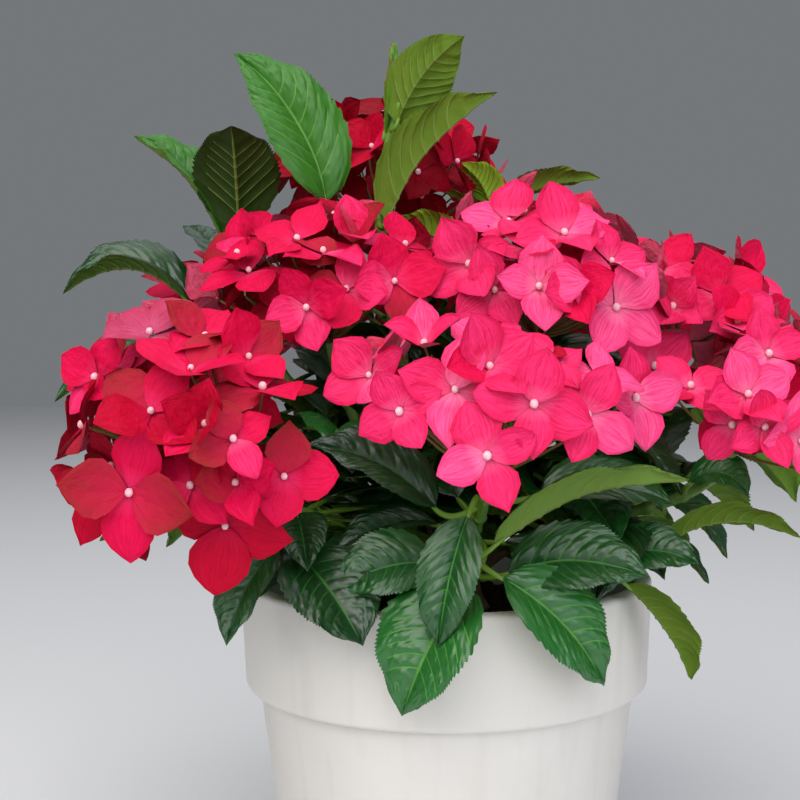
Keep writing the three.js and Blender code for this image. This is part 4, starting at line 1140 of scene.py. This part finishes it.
def sepal_material(name, colour, shade, claw, reach):
    """Sepal skin: soft, its colour broken by a second one in fine veins that fan out from the claw
    and along its margin, faded by half at the claw and less and less over the reach from it, ribbed
    by the veins and softly crumpled."""
    material = new_material(name, colour, Roughness=0.55, Specular_IOR_Level=0.07)
    place = add_node(material, "UVMap", {"uv_map": "UVMap"})
    parts = add_node(material, "SeparateXYZ", Vector=place).node.outputs
    fan_way = add_node(material, "Mapping", {"Scale": (0.08, 1.0, 1.0)}, Vector=place)
    fan = add_node(material, "TexNoise", {"Scale": 1100.0, "Detail": 2.0}, Vector=fan_way)
    plain = add_node(material, "RGB")
    plain.default_value = linear(colour)
    veined = laid_over(material, plain, shade, fan, (0.4, 0.65), (0.0, 0.75))
    half_way = {"operation": "PINGPONG", 1: SEPAL_STEP / 2}
    off_middle = add_node(material, "Math", half_way, i0=parts[1])
    edged = laid_over(material, veined, shade, off_middle, (0.0055, SEPAL_ACROSS), (0.0, 0.7))
    laid_over(material, edged, claw, parts[0], (0.0, reach), (0.5, 0.0), "Base Color")
    ribs = add_node(material, "Bump", {"Strength": 0.35, "Distance": 0.0004}, Height=fan)
    crumple = add_node(material, "TexNoise", {"Scale": 170.0, "Detail": 2.0}, Vector=place)
    soft = {"Strength": 0.6, "Distance": 0.0025}
    add_node(material, "Bump", soft, "Normal", Height=crumple, Normal=ribs)
    return material


# Each sepal has one of these colours: hot pink to crimson in the light, ruby and wine as painted
# shade in the depth of a head and on the shaded head at the top of the plant, and flushed olive or
# faded on a few of the left. The back of a sepal is paler, and dark on the dark ones, so that on
# the inner florets it is painted shade as well. After its name come the colours of its skin, veins
# and claw, and how far the claw's colour reaches in metres.
SEPAL_COLOURS = [
    ("sepal_wine", "#8a0218", "#720110", "#9c0e2c", 0.008),
    ("sepal_ruby", "#bc0630", "#a40322", "#cc1c4c", 0.008),
    ("sepal_crimson", "#db104c", "#c80838", "#ec427c", 0.008),
    ("sepal_cherry", "#ee326e", "#d0124a", "#f878a8", 0.008),
    ("sepal_hot_pink", "#fa5690", "#de2a68", "#fda0c4", 0.008),
    ("sepal_olive_flush", "#9c1a2c", "#862a1e", "#ea1a56", 0.022),
    ("sepal_faded", "#c04468", "#a83050", "#d46890", 0.01),
    ("sepal_back", "#ea6484", "#d84468", "#f08aa4", 0.01),
    ("sepal_back_dark", "#b81a36", "#a00c24", "#c62e4c", 0.01),
]
sepal_materials = [sepal_material(*colours) for colours in SEPAL_COLOURS]
WINE, HOT_PINK, OLIVE_FLUSH, FADED, BACK, BACK_DARK = 0, 4, 5, 6, 7, 8
# How far a head lies between wine, 0, and hot pink, 4. The head at the top of the plant is set low,
# near wine, as painted shade, since it sits in shade at the back.
HEAD_PINKNESS = dict(
    left_front=1.5, middle_left=2.3, top_back=0.95, upper_right=2.95, right=2.85, right_front=3.1,
    front=3.5,
)
LEFT_HEADS = "left_front", "middle_left", "back_left"
pinkness = np.array([HEAD_PINKNESS.get(cane["name"], 2.4) for cane in CANES])[florets["head"]]
# Inner florets are set near wine: painted shade in the depth of a head.
pinkness = np.where(florets["inner"], 0.5, pinkness) + sepal_random.normal(0, 0.45, floret_count)
own_pinkness = pinkness[:, None] + sepal_random.normal(0, 0.35, (floret_count, 4))
sepal_tone = np.clip(np.round(own_pinkness), WINE, HOT_PINK).astype(int)
odd = sepal_random.random((floret_count, 4))
left_heads = [i for i, cane in enumerate(CANES) if cane["name"] in LEFT_HEADS]
on_left = np.isin(florets["head"], left_heads)[:, None] & ~florets["inner"][:, None]
sepal_tone = np.where(on_left & (odd < 0.16), OLIVE_FLUSH, sepal_tone)
# One floret at the top of the left head has faded.
sepal_tone[14] = FADED
# Dark backs go with dark sepals, so the backs of the inner florets are painted shade too.
back_tone = np.where(own_pinkness < 2.1, BACK_DARK, BACK)

sepal_uv = np.stack(np.broadcast_arrays(s * 0.023, w * SEPAL_ACROSS + 0 * s), -1).reshape(-1, 2)
sepal_uv = np.concatenate([sepal_uv, sepal_uv])
SEPAL_PIECES = 2
shapes = [[] for _ in range(SEPAL_PIECES)]
for number in range(floret_count):
    for k in range(4):
        points = np.concatenate([sepals[number, k], backs[number, k]]).reshape(-1, 3)
        which = np.where(sepal_side == 0, sepal_tone[number, k], back_tone[number, k])
        shift = np.array([0, SEPAL_STEP * (4 * number + k)])
        sepal = shape_of(points, sepal_triangles, which, sepal_uv + shift, sepal_side)
        shapes[number * SEPAL_PIECES // floret_count].append(sepal)
for number, group in enumerate(shapes):
    nodes = [f"head_{cane['name']}" for cane in HEADS][number::SEPAL_PIECES]
    make_piece(f"sepals_{number + 1}", group, sepal_materials, "sepal", *nodes)

# The bead in the middle of each floret is its unopened true flower, a waxy pinkish-white bud 3 mm
# across.
bead_pink = new_material("waxy_flower_bud", "#f2c3cf", Roughness=0.4, Specular_IOR_Level=0.45)
place = add_node(bead_pink, "TexCoord").node.outputs["Object"]
mottled(bead_pink, place, 700.0, 1.0, "#f6d5dc", "#e79aae")
BEAD_ROWS, BEAD_AROUND = 6, 8
arc = np.linspace(0, np.pi, BEAD_ROWS)
bead = turned(np.stack([np.sin(arc), -np.cos(arc)], -1), BEAD_AROUND)
lobes = np.where(np.arange(BEAD_AROUND) % 2, 1, -1)[:, None]
bead *= 1 + 0.1 * lobes * np.sin(arc)[:, None, None]
bead_faces = round_faces(BEAD_ROWS, BEAD_AROUND)[0]
bead_size = sepal_random.uniform(0.0014, 0.0019, floret_count)
bead_middle = florets["place"] + face * (0.0012 + bead_size[:, None])
bead_shapes = [
    shape_of(bead * size + middle, bead_faces) for size, middle in zip(bead_size, bead_middle)
]
make_piece("flower_beads", bead_shapes, [bead_pink], "sepal")

# Floret stalks fan out from the end of the cane, thin and pale, each curving to the back of its
# floret.
RAY_AROUND = 6
# How far along a stalk its bend lies, and in metres how far the bend sags and the end stays behind
# the floret.
RAY_BEND, RAY_SAG, RAY_BEHIND = 0.55, 0.006, 0.0002
ray_t = np.concatenate([[0], np.linspace(0.001, 0.999, 8), [1]])
hub = np.array([CANES[index]["curve"][3] for index in florets["head"]])
lean = np.array([CANES[index]["lean"] for index in florets["head"]])
sag = hub + RAY_BEND * (florets["place"] - hub) - RAY_SAG * lean
ray_ends = florets["place"] - RAY_BEHIND * face
rays = bezier([hub[:, None], sag[:, None], ray_ends[:, None]], ray_t)
ray_radius = np.interp(ray_t, [0, 0.3, 1], [0.0011, 0.0007, 0.0005])
ray_radius[[0, -1]] = 0
ray_radius = np.broadcast_to(ray_radius, rays.shape[:2])
ray_faces = round_faces(len(ray_t), RAY_AROUND)[0]
ray_grid = carried(rays, ray_radius, np.array([0.31, 0.52, 0.79]), RAY_AROUND)
# Stalk skin is thin and green, flushed red towards the light.
ray_green = new_material("floret_stalk", "#b9a06a", Roughness=0.5, Specular_IOR_Level=0.35)
place = add_node(ray_green, "TexCoord").node.outputs["Object"]
mottled(ray_green, place, 60.0, 1.0, "#5c6e22", "#84302e")
ray_shapes = [shape_of(grid, ray_faces) for grid in ray_grid]
make_piece("floret_stalks", ray_shapes, [ray_green], "green_cane")

# The studio
# A pale floor, a weak even sky all round, one large soft light high on the front left, and weaker
# ones in front and above.

floor_mesh = bpy.data.meshes.new("floor")
floor_mesh.from_pydata([(-4, -4, 0), (4, -4, 0), (4, 4, 0), (-4, 4, 0)], [], [(0, 1, 2, 3)])
floor_paint = new_material("pale_floor", "#d9dadb", Roughness=0.8, Specular_IOR_Level=0.2)
floor_mesh.materials.append(floor_paint)
floor = bpy.data.objects.new("floor", floor_mesh)
bpy.context.scene.collection.objects.link(floor)

world = bpy.data.worlds.new("soft_sky")
world.use_nodes = True
world.node_tree.nodes["Background"].inputs["Color"].default_value = linear("#dfe4ea")
world.node_tree.nodes["Background"].inputs["Strength"].default_value = 0.24
bpy.context.scene.world = world
bpy.context.scene.view_settings.view_transform = "Standard"


def soft_light(name, at, target, size, power, colour):
    """A square soft light that faces a target point."""
    lamp = bpy.data.lights.new(name, "AREA")
    lamp.size, lamp.energy, lamp.color = size, power, linear(colour)[:3]
    light = bpy.data.objects.new(name, lamp)
    back = unit(np.array(at, float) - np.array(target, float))
    right = unit(np.cross([0, 0, 1], back))
    turn = np.stack([right, np.cross(back, right), back], 1)
    light.matrix_world = Matrix.Translation(at) @ Matrix(turn.tolist()).to_4x4()
    bpy.context.scene.collection.objects.link(light)


soft_light("key_light", (-0.5, -1.4, 1.8), (0, 0, 0.25), 2.4, 57, "#fffbf7")
soft_light("front_light", (0.9, -1.7, 0.8), (0, 0, 0.22), 1.4, 13, "#f2f5ff")
soft_light("top_light", (0.3, 0.5, 2.6), (0, 0, 0.3), 3.0, 32, "#f6f8ff")

# The camera stands as the photograph was taken, level with the heads and 0.68 m in front of the
# pot's middle.
CAMERA_AT = (0, -0.682, 0.307)
YAW, PITCH, ROLL = math.radians(-1.83), math.radians(3.53), math.radians(-0.33)
forward = np.array(
    [math.sin(YAW) * math.cos(PITCH), math.cos(YAW) * math.cos(PITCH), -math.sin(PITCH)]
)
right = np.array([math.cos(YAW), -math.sin(YAW), 0])
upward = np.cross(right, forward)
right, upward = (
    math.cos(ROLL) * right + math.sin(ROLL) * upward,
    math.cos(ROLL) * upward - math.sin(ROLL) * right,
)
lens = bpy.data.cameras.new("camera")
lens.lens, lens.sensor_width = 63.0, 36.0
lens.clip_start, lens.clip_end = 0.02, 30
camera = bpy.data.objects.new("camera", lens)
axes = np.stack([right, upward, -forward], 1)
camera.matrix_world = Matrix.Translation(CAMERA_AT) @ Matrix(axes.tolist()).to_4x4()
bpy.context.scene.collection.objects.link(camera)
bpy.context.scene.camera = camera
